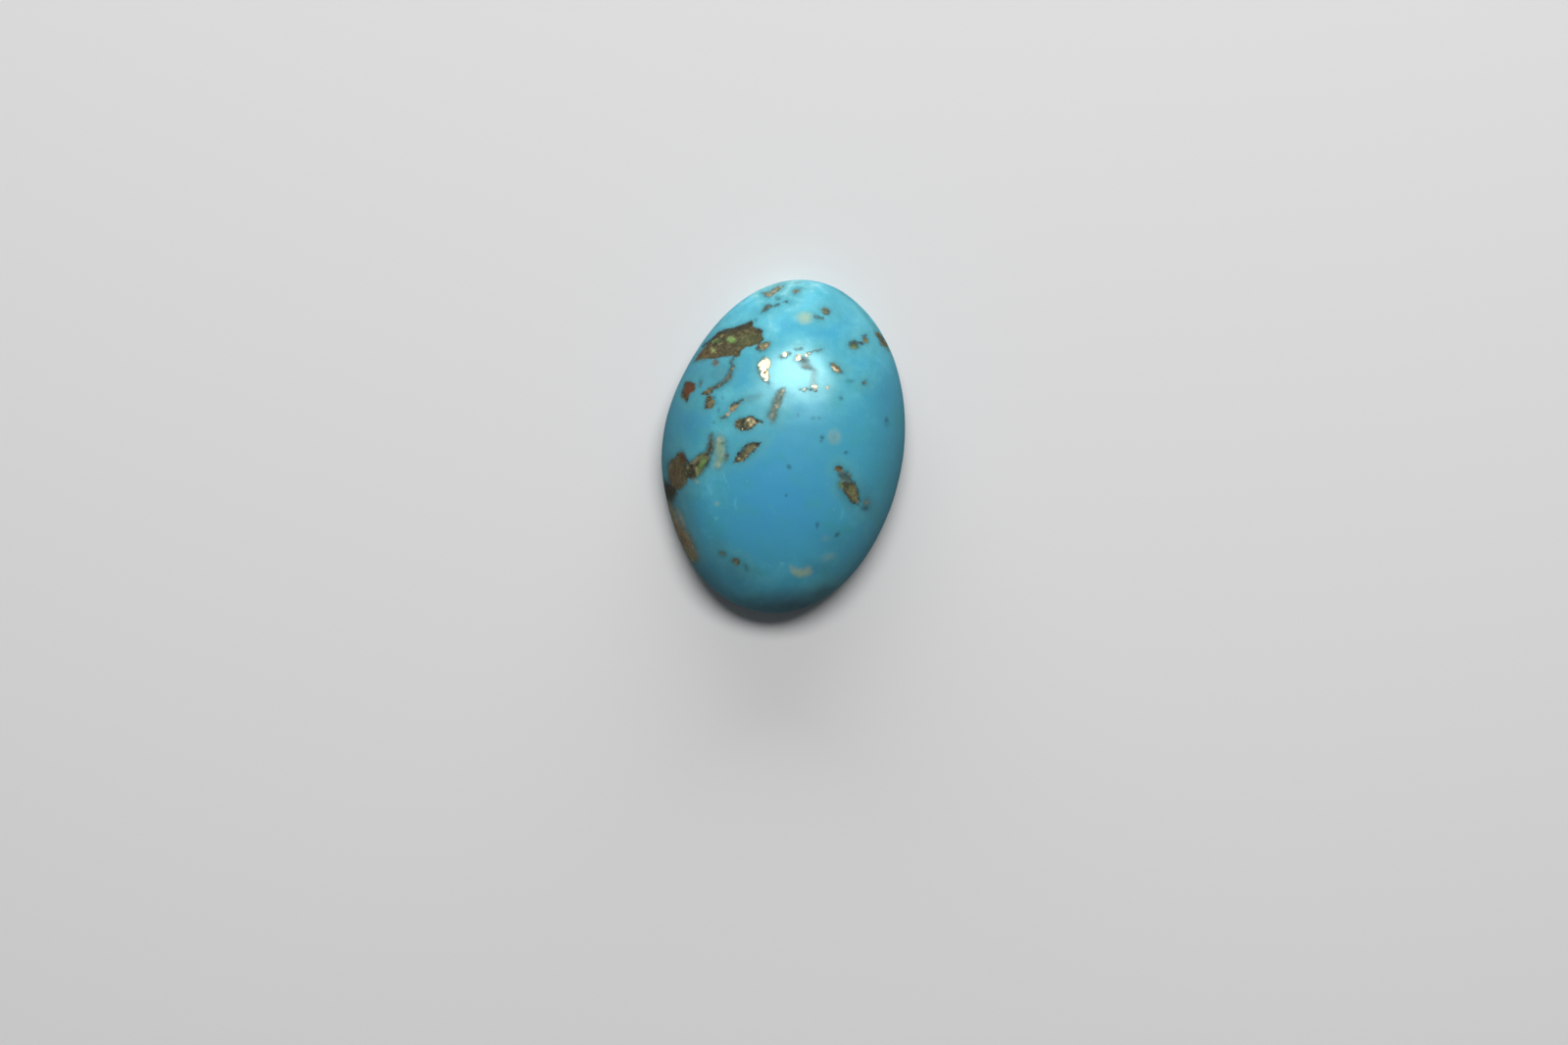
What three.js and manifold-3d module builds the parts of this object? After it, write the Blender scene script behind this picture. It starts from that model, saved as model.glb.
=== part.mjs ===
// A polished turquoise cabochon: an oval dome of blue stone with brown and golden matrix, on a sawn back.
// The stone is one natural piece, so it is one solid. Millimetres, +Z up, dome upwards, long axis along Y.
// The origin lies on the sawn back, under the middle of the stone.
import * as THREE from "three";
import { mergeVertices } from "three/addons/utils/BufferGeometryUtils.js";
import Module from "manifold-3d";

const wasm = await Module();
wasm.setup();

// Driving dimensions
const WIDTH = 24.0;
const LENGTH = 33.5;
const HEIGHT = 10.5;

// Form of the dome and of the rounded underside that the saw cut away
const GIRDLE_HEIGHT = 0.24 * HEIGHT; // the widest line of the stone, above the back
const UNDERSIDE_DEPTH = 1.8 * GIRDLE_HEIGHT;
const DOME_POWER = 2.25; // 2 is an ellipse, and more flattens the crown and steepens the sides
const UNDERSIDE_POWER = 3;
const FINENESS = 15; // each edge of the icosahedron is split into one more piece than this

// The oval isn't a true ellipse: it is a little squarer, and low waves give it hand-ground straights.
// size is a share of the radius, and crest is the direction of one wave's top, in degrees from +X.
const OUTLINE_POWER = 2.05;
const OUTLINE_WAVES = [
  { count: 1, size: 0.016, crest: -16 },
  { count: 3, size: 0.012, crest: -53 },
  { count: 4, size: 0.01, crest: 6 },
];

// Soft flats where the dome was held to the grinding wheel. facing is the compass direction in degrees from
// +X, tilt the lean away from straight up, and depth how much of the dome is gone in the middle.
const FLATS = [
  { facing: 128, tilt: 48, depth: 0.15 },
  { facing: 52, tilt: 56, depth: 0.2 },
  { facing: 205, tilt: 62, depth: 0.2 },
];
const FLAT_SHARPNESS = 36; // the higher it is, the crisper the edge of a flat

// Matrix is softer than turquoise, so polishing leaves it a little lower. Each patch is a long oval, seen
// from above: its middle, length and width, and the turn of its length from +X, in degrees.
const PATCH_DEPTH = 0.2;
const PATCH_FOOT = GIRDLE_HEIGHT; // patches on the rim run down to the widest line
const PATCHES = {
  upperLeftField: { middle: [-6.8, 9.2], length: 8.2, width: 3.0, turn: 33 },
  leftRimField: { middle: [-9.8, -4.2], length: 4.2, width: 2.6, turn: 70 },
  leftRimChain: { middle: [-7.9, -2.4], length: 3.8, width: 1.4, turn: 52 },
  rustSpot: { middle: [-10.2, 3.7], length: 2.2, width: 1.5, turn: 65 },
  crookedVein: { middle: [-7.3, 4.9], length: 5.4, width: 1.0, turn: 66 },
  smallLens: { middle: [-5.8, 2.6], length: 2.9, width: 1.0, turn: 48 },
  goldenCluster: { middle: [-3.8, 1.6], length: 3.0, width: 1.7, turn: 22 },
  crownStreak: { middle: [-1.2, 3.9], length: 3.9, width: 1.2, turn: 77 },
  darkEdgedLens: { middle: [-3.5, -1.3], length: 3.7, width: 1.4, turn: 44 },
  rightLens: { middle: [7.0, -2.9], length: 4.4, width: 1.8, turn: -52 },
  brightGrain: { middle: [-3.2, 7.2], length: 2.4, width: 1.4, turn: -80 },
  topWedge: { middle: [-3.4, 15.1], length: 2.7, width: 0.9, turn: 36 },
  rightRimSeam: { middle: [8.0, 12.0], length: 2.6, width: 1.3, turn: -51 },
  lowerLeftSeam: { middle: [-9.0, -9.6], length: 8.0, width: 1.6, turn: -60 },
};
const PATCH_SIDES = 14;
const PATCH_RAGGED = 0.13; // how far the edge of a patch strays, as a share of its size
const RAGGED_WAVES = { sharp: 5, broad: 2 }; // waves round the edge of a patch

// A small chip out of the rim at the top of the oval
const CHIP = { facing: 83, height: 0.33 * HEIGHT, radius: 2.6, depth: 0.35, fineness: 5 };

// Corners closer than this are one corner
const MERGE_DISTANCE = 1e-4;

// Polished turquoise
const STONE_COLOUR = 0x3c8fb5;
const STONE_ROUGHNESS = 0.3;

const radians = THREE.MathUtils.degToRad;

// Distance from the middle of the oval to its edge, in a direction seen from above.
function outlineRadius(angle) {
  const across = Math.abs(Math.cos(angle) / (WIDTH / 2)) ** OUTLINE_POWER;
  const along = Math.abs(Math.sin(angle) / (LENGTH / 2)) ** OUTLINE_POWER;
  const oval = (across + along) ** (-1 / OUTLINE_POWER);
  const waves = OUTLINE_WAVES.map((w) => w.size * Math.cos(w.count * (angle - radians(w.crest))));
  return oval * waves.reduce((sum, wave) => sum + wave, 1);
}

// Distance to the dome or the underside along a unit direction from the middle of the girdle.
function domeRadius(direction) {
  const outwards = Math.hypot(direction.x, direction.y);
  const edge = outlineRadius(Math.atan2(direction.y, direction.x));
  const up = direction.z >= 0;
  const power = up ? DOME_POWER : UNDERSIDE_POWER;
  const reach = up ? HEIGHT - GIRDLE_HEIGHT : UNDERSIDE_DEPTH;
  return ((outwards / edge) ** power + (Math.abs(direction.z) / reach) ** power) ** (-1 / power);
}

// A flat as a plane: its normal, and its distance from the middle of the girdle.
function flatPlane({ facing, tilt, depth }) {
  const [lean, turn] = [radians(tilt), radians(facing)];
  const normal = new THREE.Vector3(
    Math.sin(lean) * Math.cos(turn),
    Math.sin(lean) * Math.sin(turn),
    Math.cos(lean),
  );
  const dual = DOME_POWER / (DOME_POWER - 1);
  const across = (outlineRadius(turn) * Math.sin(lean)) ** dual;
  const upwards = ((HEIGHT - GIRDLE_HEIGHT) * Math.cos(lean)) ** dual;
  return { normal, distance: (across + upwards) ** (1 / dual) - depth };
}
const flatPlanes = FLATS.map(flatPlane);

// The dome with its soft flats: a smooth minimum of the dome and every plane that the direction meets.
function stoneRadius(direction) {
  let sum = domeRadius(direction) ** -FLAT_SHARPNESS;
  for (const { normal, distance } of flatPlanes) {
    const towards = normal.dot(direction);
    if (towards > 0) sum += (distance / towards) ** -FLAT_SHARPNESS;
  }
  return sum ** (-1 / FLAT_SHARPNESS);
}

// The ground pebble before sawing, or a copy of it that lies deeper everywhere by sunk.
function pebble(sunk = 0) {
  const geometry = new THREE.IcosahedronGeometry(1, FINENESS);
  const place = geometry.getAttribute("position");
  const point = new THREE.Vector3();
  const spread = new THREE.Vector3(WIDTH / 2, LENGTH / 2, HEIGHT - GIRDLE_HEIGHT);
  for (let i = 0; i < place.count; i++) {
    point.fromBufferAttribute(place, i).multiply(spread).normalize();
    point.multiplyScalar(stoneRadius(point) - sunk);
    place.setXYZ(i, point.x, point.y, point.z);
  }
  return geometry;
}

// Moves and scales that bring the pebble's box to the driving dimensions, with the back at height 0.
function toDrivingBox(geometry) {
  geometry.computeBoundingBox();
  const { min, max } = geometry.boundingBox;
  const scale = new THREE.Vector3(
    WIDTH / (max.x - min.x),
    LENGTH / (max.y - min.y),
    (HEIGHT - GIRDLE_HEIGHT) / max.z,
  );
  const middle = new THREE.Vector3((min.x + max.x) / 2, (min.y + max.y) / 2, 0);
  return new THREE.Matrix4()
    .makeTranslation(0, 0, GIRDLE_HEIGHT)
    .scale(scale)
    .multiply(new THREE.Matrix4().makeTranslation(middle.negate()));
}

// A closed geometry as a solid that can be cut and joined.
function solidOf(geometry) {
  const bare = geometry.clone();
  bare.deleteAttribute("normal");
  bare.deleteAttribute("uv");
  const merged = mergeVertices(bare, MERGE_DISTANCE);
  return new wasm.Manifold(
    new wasm.Mesh({
      numProp: 3,
      vertProperties: merged.getAttribute("position").array,
      triVerts: new Uint32Array(merged.index.array),
    }),
  );
}

// A solid as a geometry with smooth normals.
function geometryOf(solid) {
  const { vertProperties, triVerts } = solid.getMesh();
  const geometry = new THREE.BufferGeometry();
  geometry.setAttribute("position", new THREE.BufferAttribute(vertProperties, 3));
  geometry.setIndex(new THREE.BufferAttribute(triVerts, 1));
  geometry.computeVertexNormals();
  return geometry;
}

// A long oval with a ragged edge, as an upright prism from the foot of a patch to above the crown.
function patchPrism({ middle, length, width, turn }) {
  const shape = new THREE.Shape();
  for (let i = 0; i < PATCH_SIDES; i++) {
    const around = (2 * Math.PI * i) / PATCH_SIDES;
    const sharp = Math.sin(RAGGED_WAVES.sharp * around + length);
    const broad = Math.cos(RAGGED_WAVES.broad * around + width);
    const stray = 1 + PATCH_RAGGED * sharp * broad;
    const along = (length / 2) * stray * Math.cos(around);
    const across = (width / 2) * stray * Math.sin(around);
    if (i === 0) shape.moveTo(along, across);
    else shape.lineTo(along, across);
  }
  shape.closePath();
  return new THREE.ExtrudeGeometry(shape, { depth: HEIGHT, bevelEnabled: false })
    .rotateZ(radians(turn))
    .translate(middle[0], middle[1], PATCH_FOOT);
}

// The ball whose surface is the hollow of the chip.
function chipBall({ facing, height, radius, depth, fineness }) {
  const turn = radians(facing);
  const away = outlineRadius(turn) + radius - depth;
  return new THREE.IcosahedronGeometry(radius, fineness).translate(
    away * Math.cos(turn),
    away * Math.sin(turn),
    height,
  );
}

// The saw takes everything below the back.
function sawCut() {
  const size = 2 * LENGTH;
  return new THREE.BoxGeometry(size, size, size).translate(0, 0, -size / 2);
}

function buildStone() {
  const ground = pebble();
  const toBox = toDrivingBox(ground);
  const lowered = solidOf(pebble(PATCH_DEPTH).applyMatrix4(toBox));
  let stone = solidOf(ground.applyMatrix4(toBox));
  for (const patch of Object.values(PATCHES)) {
    stone = stone.subtract(solidOf(patchPrism(patch)).subtract(lowered));
  }
  stone = stone.subtract(solidOf(chipBall(CHIP))).subtract(solidOf(sawCut()));
  const polished = new THREE.MeshStandardMaterial({
    color: STONE_COLOUR,
    roughness: STONE_ROUGHNESS,
    metalness: 0,
  });
  const mesh = new THREE.Mesh(geometryOf(stone), polished);
  mesh.name = "stone";
  return mesh;
}

const cabochon = new THREE.Group();
cabochon.add(buildStone());

export default cabochon;
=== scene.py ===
# %% [markdown]
# # A polished turquoise cabochon
# A cabochon is a stone that was ground to a smooth dome on a sawn flat back, with no facets. This one is
# blue turquoise that still holds pieces of its mother rock: brown matrix, golden pyrite, and cream and
# green spots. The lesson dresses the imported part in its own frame, in metres, so that nothing has to be
# fitted afterwards.

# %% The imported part
import math
from collections import namedtuple

import bpy
import numpy as np
from mathutils import Vector, noise
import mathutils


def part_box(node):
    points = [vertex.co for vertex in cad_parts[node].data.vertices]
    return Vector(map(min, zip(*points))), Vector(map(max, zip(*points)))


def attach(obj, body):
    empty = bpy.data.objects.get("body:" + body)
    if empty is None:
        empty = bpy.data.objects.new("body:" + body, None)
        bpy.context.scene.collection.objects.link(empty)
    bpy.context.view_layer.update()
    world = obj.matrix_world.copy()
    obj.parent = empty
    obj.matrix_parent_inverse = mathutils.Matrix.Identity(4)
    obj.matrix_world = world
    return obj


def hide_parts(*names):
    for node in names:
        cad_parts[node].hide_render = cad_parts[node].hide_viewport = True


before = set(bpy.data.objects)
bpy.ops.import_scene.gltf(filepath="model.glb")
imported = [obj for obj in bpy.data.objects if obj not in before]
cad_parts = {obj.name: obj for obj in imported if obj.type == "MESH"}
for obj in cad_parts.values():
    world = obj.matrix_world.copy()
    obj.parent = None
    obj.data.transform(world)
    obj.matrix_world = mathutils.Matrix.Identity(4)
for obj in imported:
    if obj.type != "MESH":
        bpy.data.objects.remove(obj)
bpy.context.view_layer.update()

MM = 0.001
stone_low, stone_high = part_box("stone")
WIDTH, LENGTH, HEIGHT = (stone_high - stone_low) / MM

# %% [markdown]
# ## The camera
# The photograph looks straight down on the dome, and the long axis of the stone leans a little to the
# right. A camera could be aimed by eye, but the outline gives its place exactly: the width of the stone
# in pixels sets the distance, and the middle of its outline sets where the lens points. The same numbers
# turn any pixel of the photograph into a place on the stone later on.

# %% Camera over the stone
PHOTO_WIDTH = 1600
PHOTO_HEIGHT = 1066
STONE_MIDDLE_PX = (799.3, 454.7)
PIXELS_PER_MM = 10.21
LEAN = math.radians(10)
LENS = 100
SENSOR = 36
NEAREST_SEEN = 0.01
GIRDLE = 0.24 * HEIGHT  # the height of the widest line

photo_right = Vector((math.cos(LEAN), math.sin(LEAN), 0))
photo_up = Vector((-math.sin(LEAN), math.cos(LEAN), 0))
focal_px = LENS / SENSOR * PHOTO_WIDTH
camera_height = focal_px / PIXELS_PER_MM + GIRDLE
axis_right = (PHOTO_WIDTH / 2 - STONE_MIDDLE_PX[0]) / PIXELS_PER_MM
axis_up = (STONE_MIDDLE_PX[1] - PHOTO_HEIGHT / 2) / PIXELS_PER_MM
camera_place = photo_right * axis_right + photo_up * axis_up + Vector((0, 0, camera_height))

camera_data = bpy.data.cameras.new("camera")
camera_data.lens = LENS
camera_data.sensor_width = SENSOR
camera_data.clip_start = NEAREST_SEEN
camera = bpy.data.objects.new("camera", camera_data)
camera.location = camera_place * MM
camera.rotation_euler = (0, 0, LEAN)
bpy.context.scene.collection.objects.link(camera)
bpy.context.scene.camera = camera
print(f"camera {camera_height:.0f} mm above the floor, leaning {math.degrees(LEAN):.0f} degrees")

# %% [markdown]
# ## Soft light
# The stone is lit as for a catalogue: one soft box above the far end, whose mirror image is the bright
# spot on the upper dome, a wide low light behind it that leaves the near end in shade, and an even grey
# surround. The wide light shows in no gloss, because a second bright spot would spoil the first. Colours
# go to the screen unchanged, with the Standard view, because a film look would bend the blue.

# %% Soft studio
BOX_ASIDE = 0.18  # how far the soft box stands to the right of the stone's long axis
SURROUND_COLOUR = (0.97, 0.98, 1.0, 1)
SURROUND_STRENGTH = 0.11
STONE_TOP = Vector((0, 0, HEIGHT)) * MM


def soft_light(name, towards, from_upright, distance, size, power):
    """An oval soft box, seen from the crown in the direction towards, tipped from_upright degrees."""
    tip = math.radians(from_upright)
    direction = towards * math.sin(tip) + Vector((0, 0, math.cos(tip)))
    data = bpy.data.lights.new(name, "AREA")
    data.shape = "ELLIPSE"
    data.size, data.size_y = size
    data.energy = power
    lamp = bpy.data.objects.new(name, data)
    lamp.location = STONE_TOP + direction * distance
    lamp.rotation_euler = direction.to_track_quat("Z", "Y").to_euler()
    bpy.context.scene.collection.objects.link(lamp)
    print(name, power, "W")
    return lamp


bpy.context.scene.view_settings.view_transform = "Standard"
box_towards = photo_up + BOX_ASIDE * photo_right
soft_light("soft box", box_towards, from_upright=24, distance=0.55, size=(0.40, 0.19), power=2.95)
back_light = soft_light(
    "wide back light", photo_up, from_upright=80, distance=0.9, size=(1.4, 0.6), power=13
)
back_light.visible_glossy = False

world = bpy.data.worlds.new("studio")
world.use_nodes = True
surround = world.node_tree.nodes["Background"]
surround.inputs["Color"].default_value = SURROUND_COLOUR
surround.inputs["Strength"].default_value = SURROUND_STRENGTH
bpy.context.scene.world = world

# %% [markdown]
# ## The floor
# A plain matte floor takes the contact shadow. Real studios use a paper sweep; one large flat face does
# the same here. It is kept out of the gloss of the stone, because its pale mirror image would veil the
# blue of the rim.

# %% Pale floor
FLOOR_SIZE = 3.0
FLOOR_DROP = 0.01 * MM
FLOOR_COLOUR = (0.58, 0.58, 0.58, 1)
FLOOR_ROUGHNESS = 0.9

half = FLOOR_SIZE / 2
corners = [(x, y, -FLOOR_DROP) for x, y in ((-half, -half), (half, -half), (half, half), (-half, half))]
floor_mesh = bpy.data.meshes.new("floor")
floor_mesh.from_pydata(corners, [], [(0, 1, 2, 3)])
floor = bpy.data.objects.new("floor", floor_mesh)
bpy.context.scene.collection.objects.link(floor)
floor.visible_glossy = False

floor_paint = bpy.data.materials.new("floor paint")
floor_paint.use_nodes = True
paint = floor_paint.node_tree.nodes["Principled BSDF"]
paint.inputs["Base Color"].default_value = FLOOR_COLOUR
paint.inputs["Roughness"].default_value = FLOOR_ROUGHNESS
floor_mesh.materials.append(floor_paint)
print("floor", FLOOR_SIZE, "m")

# %% [markdown]
# ## Rules written as nodes
# Geometry Nodes and shaders are both graphs of small steps. Drawing them socket by socket takes many
# lines, so a field here is a socket that takes part in plain sums: writing a * b + 1 on fields places the
# nodes and the links. The same rule can then also be worked out on ordinary numbers.

# %% Sums on sockets


def plug(tree, socket, value):
    """Links a field to a socket, or sets the socket's own value."""
    if isinstance(value, Field):
        tree.links.new(value.socket, socket)
    else:
        socket.default_value = value


class Field:
    """A socket of a node tree that takes part in sums."""

    def __init__(self, tree, socket):
        self.tree = tree
        self.socket = socket

    def __add__(self, other):
        return maths("ADD", self, other)

    def __sub__(self, other):
        return maths("SUBTRACT", self, other)

    def __rsub__(self, other):
        return maths("SUBTRACT", other, self)

    def __mul__(self, other):
        return maths("MULTIPLY", self, other)

    def __truediv__(self, other):
        return maths("DIVIDE", self, other)

    def __rtruediv__(self, other):
        return maths("DIVIDE", other, self)

    def __pow__(self, other):
        return maths("POWER", self, other)

    __radd__ = __add__
    __rmul__ = __mul__


PLAIN = {"SINE": np.sin, "COSINE": np.cos, "ABSOLUTE": np.abs}


def maths(operation, *terms):
    """One step of arithmetic: a Math node if a term is a field, and a plain number otherwise."""
    trees = [term.tree for term in terms if isinstance(term, Field)]
    if not trees:
        return PLAIN[operation](*terms)
    made = trees[0].nodes.new("ShaderNodeMath")
    made.operation = operation
    for socket, term in zip(made.inputs, terms):
        plug(trees[0], socket, term)
    return Field(trees[0], made.outputs[0])


# %% Nodes by name


def vectors(operation, *terms, output="Vector"):
    """One step of vector arithmetic."""
    tree = next(term.tree for term in terms if isinstance(term, Field))
    made = tree.nodes.new("ShaderNodeVectorMath")
    made.operation = operation
    sockets = [s for s in made.inputs if s.enabled]
    for socket, term in zip(sockets, terms):
        plug(tree, socket, term)
    return Field(tree, made.outputs[output])


def place_node(tree, kind, inputs=None, **settings):
    """A node of any kind, with its settings and inputs by name."""
    made = tree.nodes.new(kind)
    for name, value in settings.items():
        setattr(made, name, value)
    for name, value in (inputs or {}).items():
        plug(tree, made.inputs[name], value)
    return made


def output_of(tree, kind, output, inputs=None, **settings):
    """One output of a new node, as a field."""
    return Field(tree, place_node(tree, kind, inputs, **settings).outputs[output])


# %% [markdown]
# ## The shape of the stone
# The dome follows a rule, so Geometry Nodes make it. A square grid is pressed into a disc, the disc is
# drawn up into a dome that is flatter on the crown and steeper at the sides than a ball, and its edge is
# tucked under the widest line, the girdle, down to the sawn back. Low waves make the oval a little
# uneven, three soft flats are where it was held to the wheel, and a small chip is missing from the rim. A
# sculpted mesh could look the same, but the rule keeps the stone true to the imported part.

# %% Oval and flats
UNDERSIDE_DEPTH = 1.8 * GIRDLE
DOME_POWER = 2.25
OUTLINE_POWER = 2.05
Wave = namedtuple("Wave", "count size crest")
OUTLINE_WAVES = [Wave(1, 0.016, -16), Wave(3, 0.012, -53), Wave(4, 0.010, 6)]
Flat = namedtuple("Flat", "facing tilt depth")
FLATS = [Flat(128, 48, 0.15), Flat(52, 56, 0.20), Flat(205, 62, 0.20)]


def oval_radius(angle):
    """Distance from the middle of the oval to its edge, on fields or on numbers."""
    across = maths("ABSOLUTE", maths("COSINE", angle) / (WIDTH / 2)) ** OUTLINE_POWER
    along = maths("ABSOLUTE", maths("SINE", angle) / (LENGTH / 2)) ** OUTLINE_POWER
    uneven = 1
    for wave in OUTLINE_WAVES:
        uneven = uneven + wave.size * maths("COSINE", wave.count * (angle - math.radians(wave.crest)))
    return (across + along) ** (-1 / OUTLINE_POWER) * uneven


def flat_plane(flat):
    """A flat as a plane: its normal, and its distance from the middle of the girdle."""
    lean, turn = math.radians(flat.tilt), math.radians(flat.facing)
    normal = Vector((math.sin(lean) * math.cos(turn), math.sin(lean) * math.sin(turn), math.cos(lean)))
    dual = DOME_POWER / (DOME_POWER - 1)
    across = (oval_radius(turn) * math.sin(lean)) ** dual
    upwards = ((HEIGHT - GIRDLE) * math.cos(lean)) ** dual
    return normal, (across + upwards) ** (1 / dual) - flat.depth


print(f"radius {oval_radius(0):.2f} mm to the right, {oval_radius(math.pi / 2):.2f} mm to the far end")

# %% The dome as a field
UNDERSIDE_POWER = 3.0
FLAT_SHARPNESS = 36
GIRDLE_RING = 0.87  # the share of the grid's rings that lies above the girdle
CROWN_SPACING = 0.75


def split(vector):
    """The three parts of a vector field."""
    made = place_node(vector.tree, "ShaderNodeSeparateXYZ", {"Vector": vector})
    return [Field(vector.tree, socket) for socket in made.outputs]


def joined(x, y, z):
    """A vector field from its three parts."""
    return output_of(x.tree, "ShaderNodeCombineXYZ", "Vector", {"X": x, "Y": y, "Z": z})


def dome_point(grid_place):
    """Where a corner of the grid goes on the dome, in millimetres from the middle of the girdle."""
    u, v, _ = split(grid_place)
    disc_x = u * (1 - v * v / 2) ** 0.5
    disc_y = v * (1 - u * u / 2) ** 0.5
    ring = (disc_x * disc_x + disc_y * disc_y) ** 0.5
    angle = maths("ARCTAN2", disc_y * LENGTH, disc_x * WIDTH)
    towards_girdle = maths("MINIMUM", ring / GIRDLE_RING, 1.0)
    fall = towards_girdle * (CROWN_SPACING + (1 - CROWN_SPACING) * towards_girdle)
    sawn_at = GIRDLE / UNDERSIDE_DEPTH
    saw_angle = math.atan2(sawn_at, (1 - sawn_at**UNDERSIDE_POWER) ** (1 / UNDERSIDE_POWER))
    tuck = maths("MAXIMUM", ring - GIRDLE_RING, 0.0) / (1 - GIRDLE_RING)
    slope = math.pi / 2 * (1 - fall) - saw_angle * tuck
    out, up = maths("COSINE", slope), maths("SINE", slope)
    above = maths("GREATER_THAN", up, 0.0)
    power = UNDERSIDE_POWER + (DOME_POWER - UNDERSIDE_POWER) * above
    reach = UNDERSIDE_DEPTH + (HEIGHT - GIRDLE - UNDERSIDE_DEPTH) * above
    size = (maths("ABSOLUTE", out) ** power + maths("ABSOLUTE", up) ** power) ** (1 / power)
    plan = oval_radius(angle) * out / size
    point = joined(plan * maths("COSINE", angle), plan * maths("SINE", angle), up * reach / size)
    pressed = 1
    for normal, distance in map(flat_plane, FLATS):
        towards = vectors("DOT_PRODUCT", point, tuple(normal), output="Value") / distance
        pressed = maths("MAXIMUM", towards, 0.0) ** FLAT_SHARPNESS + pressed
    return vectors("MULTIPLY", point, joined(*[pressed ** (-1 / FLAT_SHARPNESS)] * 3))


# %% The chip
CHIP_FACING = math.radians(83)
CHIP_HEIGHT = 0.33 * HEIGHT
CHIP_RADIUS = 2.6
CHIP_DEPTH = 0.35


def chipped(place):
    """The rim with the ball of the chip pressed out of it."""
    away = oval_radius(CHIP_FACING) + CHIP_RADIUS - CHIP_DEPTH
    ball = (away * math.cos(CHIP_FACING) * MM, away * math.sin(CHIP_FACING) * MM, CHIP_HEIGHT * MM)
    offset = vectors("SUBTRACT", place, ball)
    distance = vectors("LENGTH", offset, output="Value")
    push = maths("MAXIMUM", CHIP_RADIUS * MM / distance, 1.0)
    return vectors("ADD", vectors("MULTIPLY", offset, joined(push, push, push)), ball)


print(f"chip {CHIP_DEPTH} mm deep, {CHIP_HEIGHT:.1f} mm above the floor")

# %% [markdown]
# ## From grid to stone
# The tree has the sizes and finishes of the stone as named inputs. It draws the grid up into the dome,
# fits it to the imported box, and fills its open edge with the sawn back, so that the mesh is closed. Every
# tree ends in the same two steps: realised instances, because an export drops those that aren't, and the
# finishes.

# %% Trees and what they make
HAIR = 0.001 * MM  # corners nearer than this are the same, and lower than this they lie on the back


def tree_with(name, sockets):
    """An empty Geometry Nodes tree with named inputs and one geometry output, and its inputs as fields."""
    tree = bpy.data.node_groups.new(name, "GeometryNodeTree")
    tree.is_modifier = True
    for socket_name, kind in sockets.items():
        tree.interface.new_socket(name=socket_name, in_out="INPUT", socket_type=kind)
    tree.interface.new_socket(name="Geometry", in_out="OUTPUT", socket_type="NodeSocketGeometry")
    given = tree.nodes.new("NodeGroupInput")
    return tree, {socket_name: Field(tree, given.outputs[socket_name]) for socket_name in sockets}


def on_back(tree):
    """1 on the sawn back and 0 on the dome, as a field."""
    _, _, height = split(output_of(tree, "GeometryNodeInputPosition", "Position"))
    return maths("LESS_THAN", height, HAIR)


def end_tree(tree, geometry, given):
    """Ends a tree: realises its instances, then polishes the dome and leaves the back sawn."""
    single = output_of(tree, "GeometryNodeRealizeInstances", "Geometry", {"Geometry": geometry})
    finish = {"Geometry": single, "Material": given["Polished"]}
    dressed = output_of(tree, "GeometryNodeSetMaterial", "Geometry", finish)
    finish = {"Geometry": dressed, "Selection": on_back(tree), "Material": given["Sawn"]}
    dressed = output_of(tree, "GeometryNodeSetMaterial", "Geometry", finish)
    plug(tree, tree.nodes.new("NodeGroupOutput").inputs["Geometry"], dressed)


def run_tree(piece, tree, values):
    """Runs a Geometry Nodes tree on a piece and keeps the result as the piece's plain mesh."""
    modifier = piece.modifiers.new(tree.name, "NODES")
    modifier.node_group = tree
    for item in tree.interface.items_tree:
        if item.in_out == "INPUT" and item.name in values:
            modifier[item.identifier] = values[item.name]
    evaluated = piece.evaluated_get(bpy.context.evaluated_depsgraph_get())
    made = bpy.data.meshes.new_from_object(evaluated)
    slots = list(made.materials)
    if None in slots:  # a new grid has one empty slot, which would stay in front of the finishes
        made.materials.pop(index=slots.index(None))
    piece.modifiers.clear()
    piece.data = made
    print(f"{tree.name}: {len(made.vertices)} corners, {len(made.polygons)} faces")


# %% The ground dome
ground, given = tree_with(
    "ground stone",
    {
        "Rings": "NodeSocketInt",
        "Lowest corner": "NodeSocketVector",
        "Highest corner": "NodeSocketVector",
        "Polished": "NodeSocketMaterial",
        "Sawn": "NodeSocketMaterial",
    },
)
position = output_of(ground, "GeometryNodeInputPosition", "Position")
corners_across = given["Rings"] * 2 + 1
sheet = output_of(
    ground,
    "GeometryNodeMeshGrid",
    "Mesh",
    {"Size X": 2.0, "Size Y": 2.0, "Vertices X": corners_across, "Vertices Y": corners_across},
)
drawn_up = output_of(
    ground, "GeometryNodeSetPosition", "Geometry", {"Geometry": sheet, "Position": dome_point(position)}
)
box = place_node(ground, "GeometryNodeBoundBox", {"Geometry": drawn_up})
box_low, box_high = Field(ground, box.outputs["Min"]), Field(ground, box.outputs["Max"])
share = vectors("DIVIDE", vectors("SUBTRACT", position, box_low), vectors("SUBTRACT", box_high, box_low))
room = vectors("SUBTRACT", given["Highest corner"], given["Lowest corner"])
fitted = vectors("ADD", vectors("MULTIPLY", share, room), given["Lowest corner"])
dome = output_of(
    ground, "GeometryNodeSetPosition", "Geometry", {"Geometry": drawn_up, "Position": chipped(fitted)}
)
print("dome fitted by", len(ground.nodes), "nodes")

# %% The back and the closed stone
# The open edge of the dome becomes a curve, and the curve is filled with the sawn back.
RINGS = 155

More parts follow.
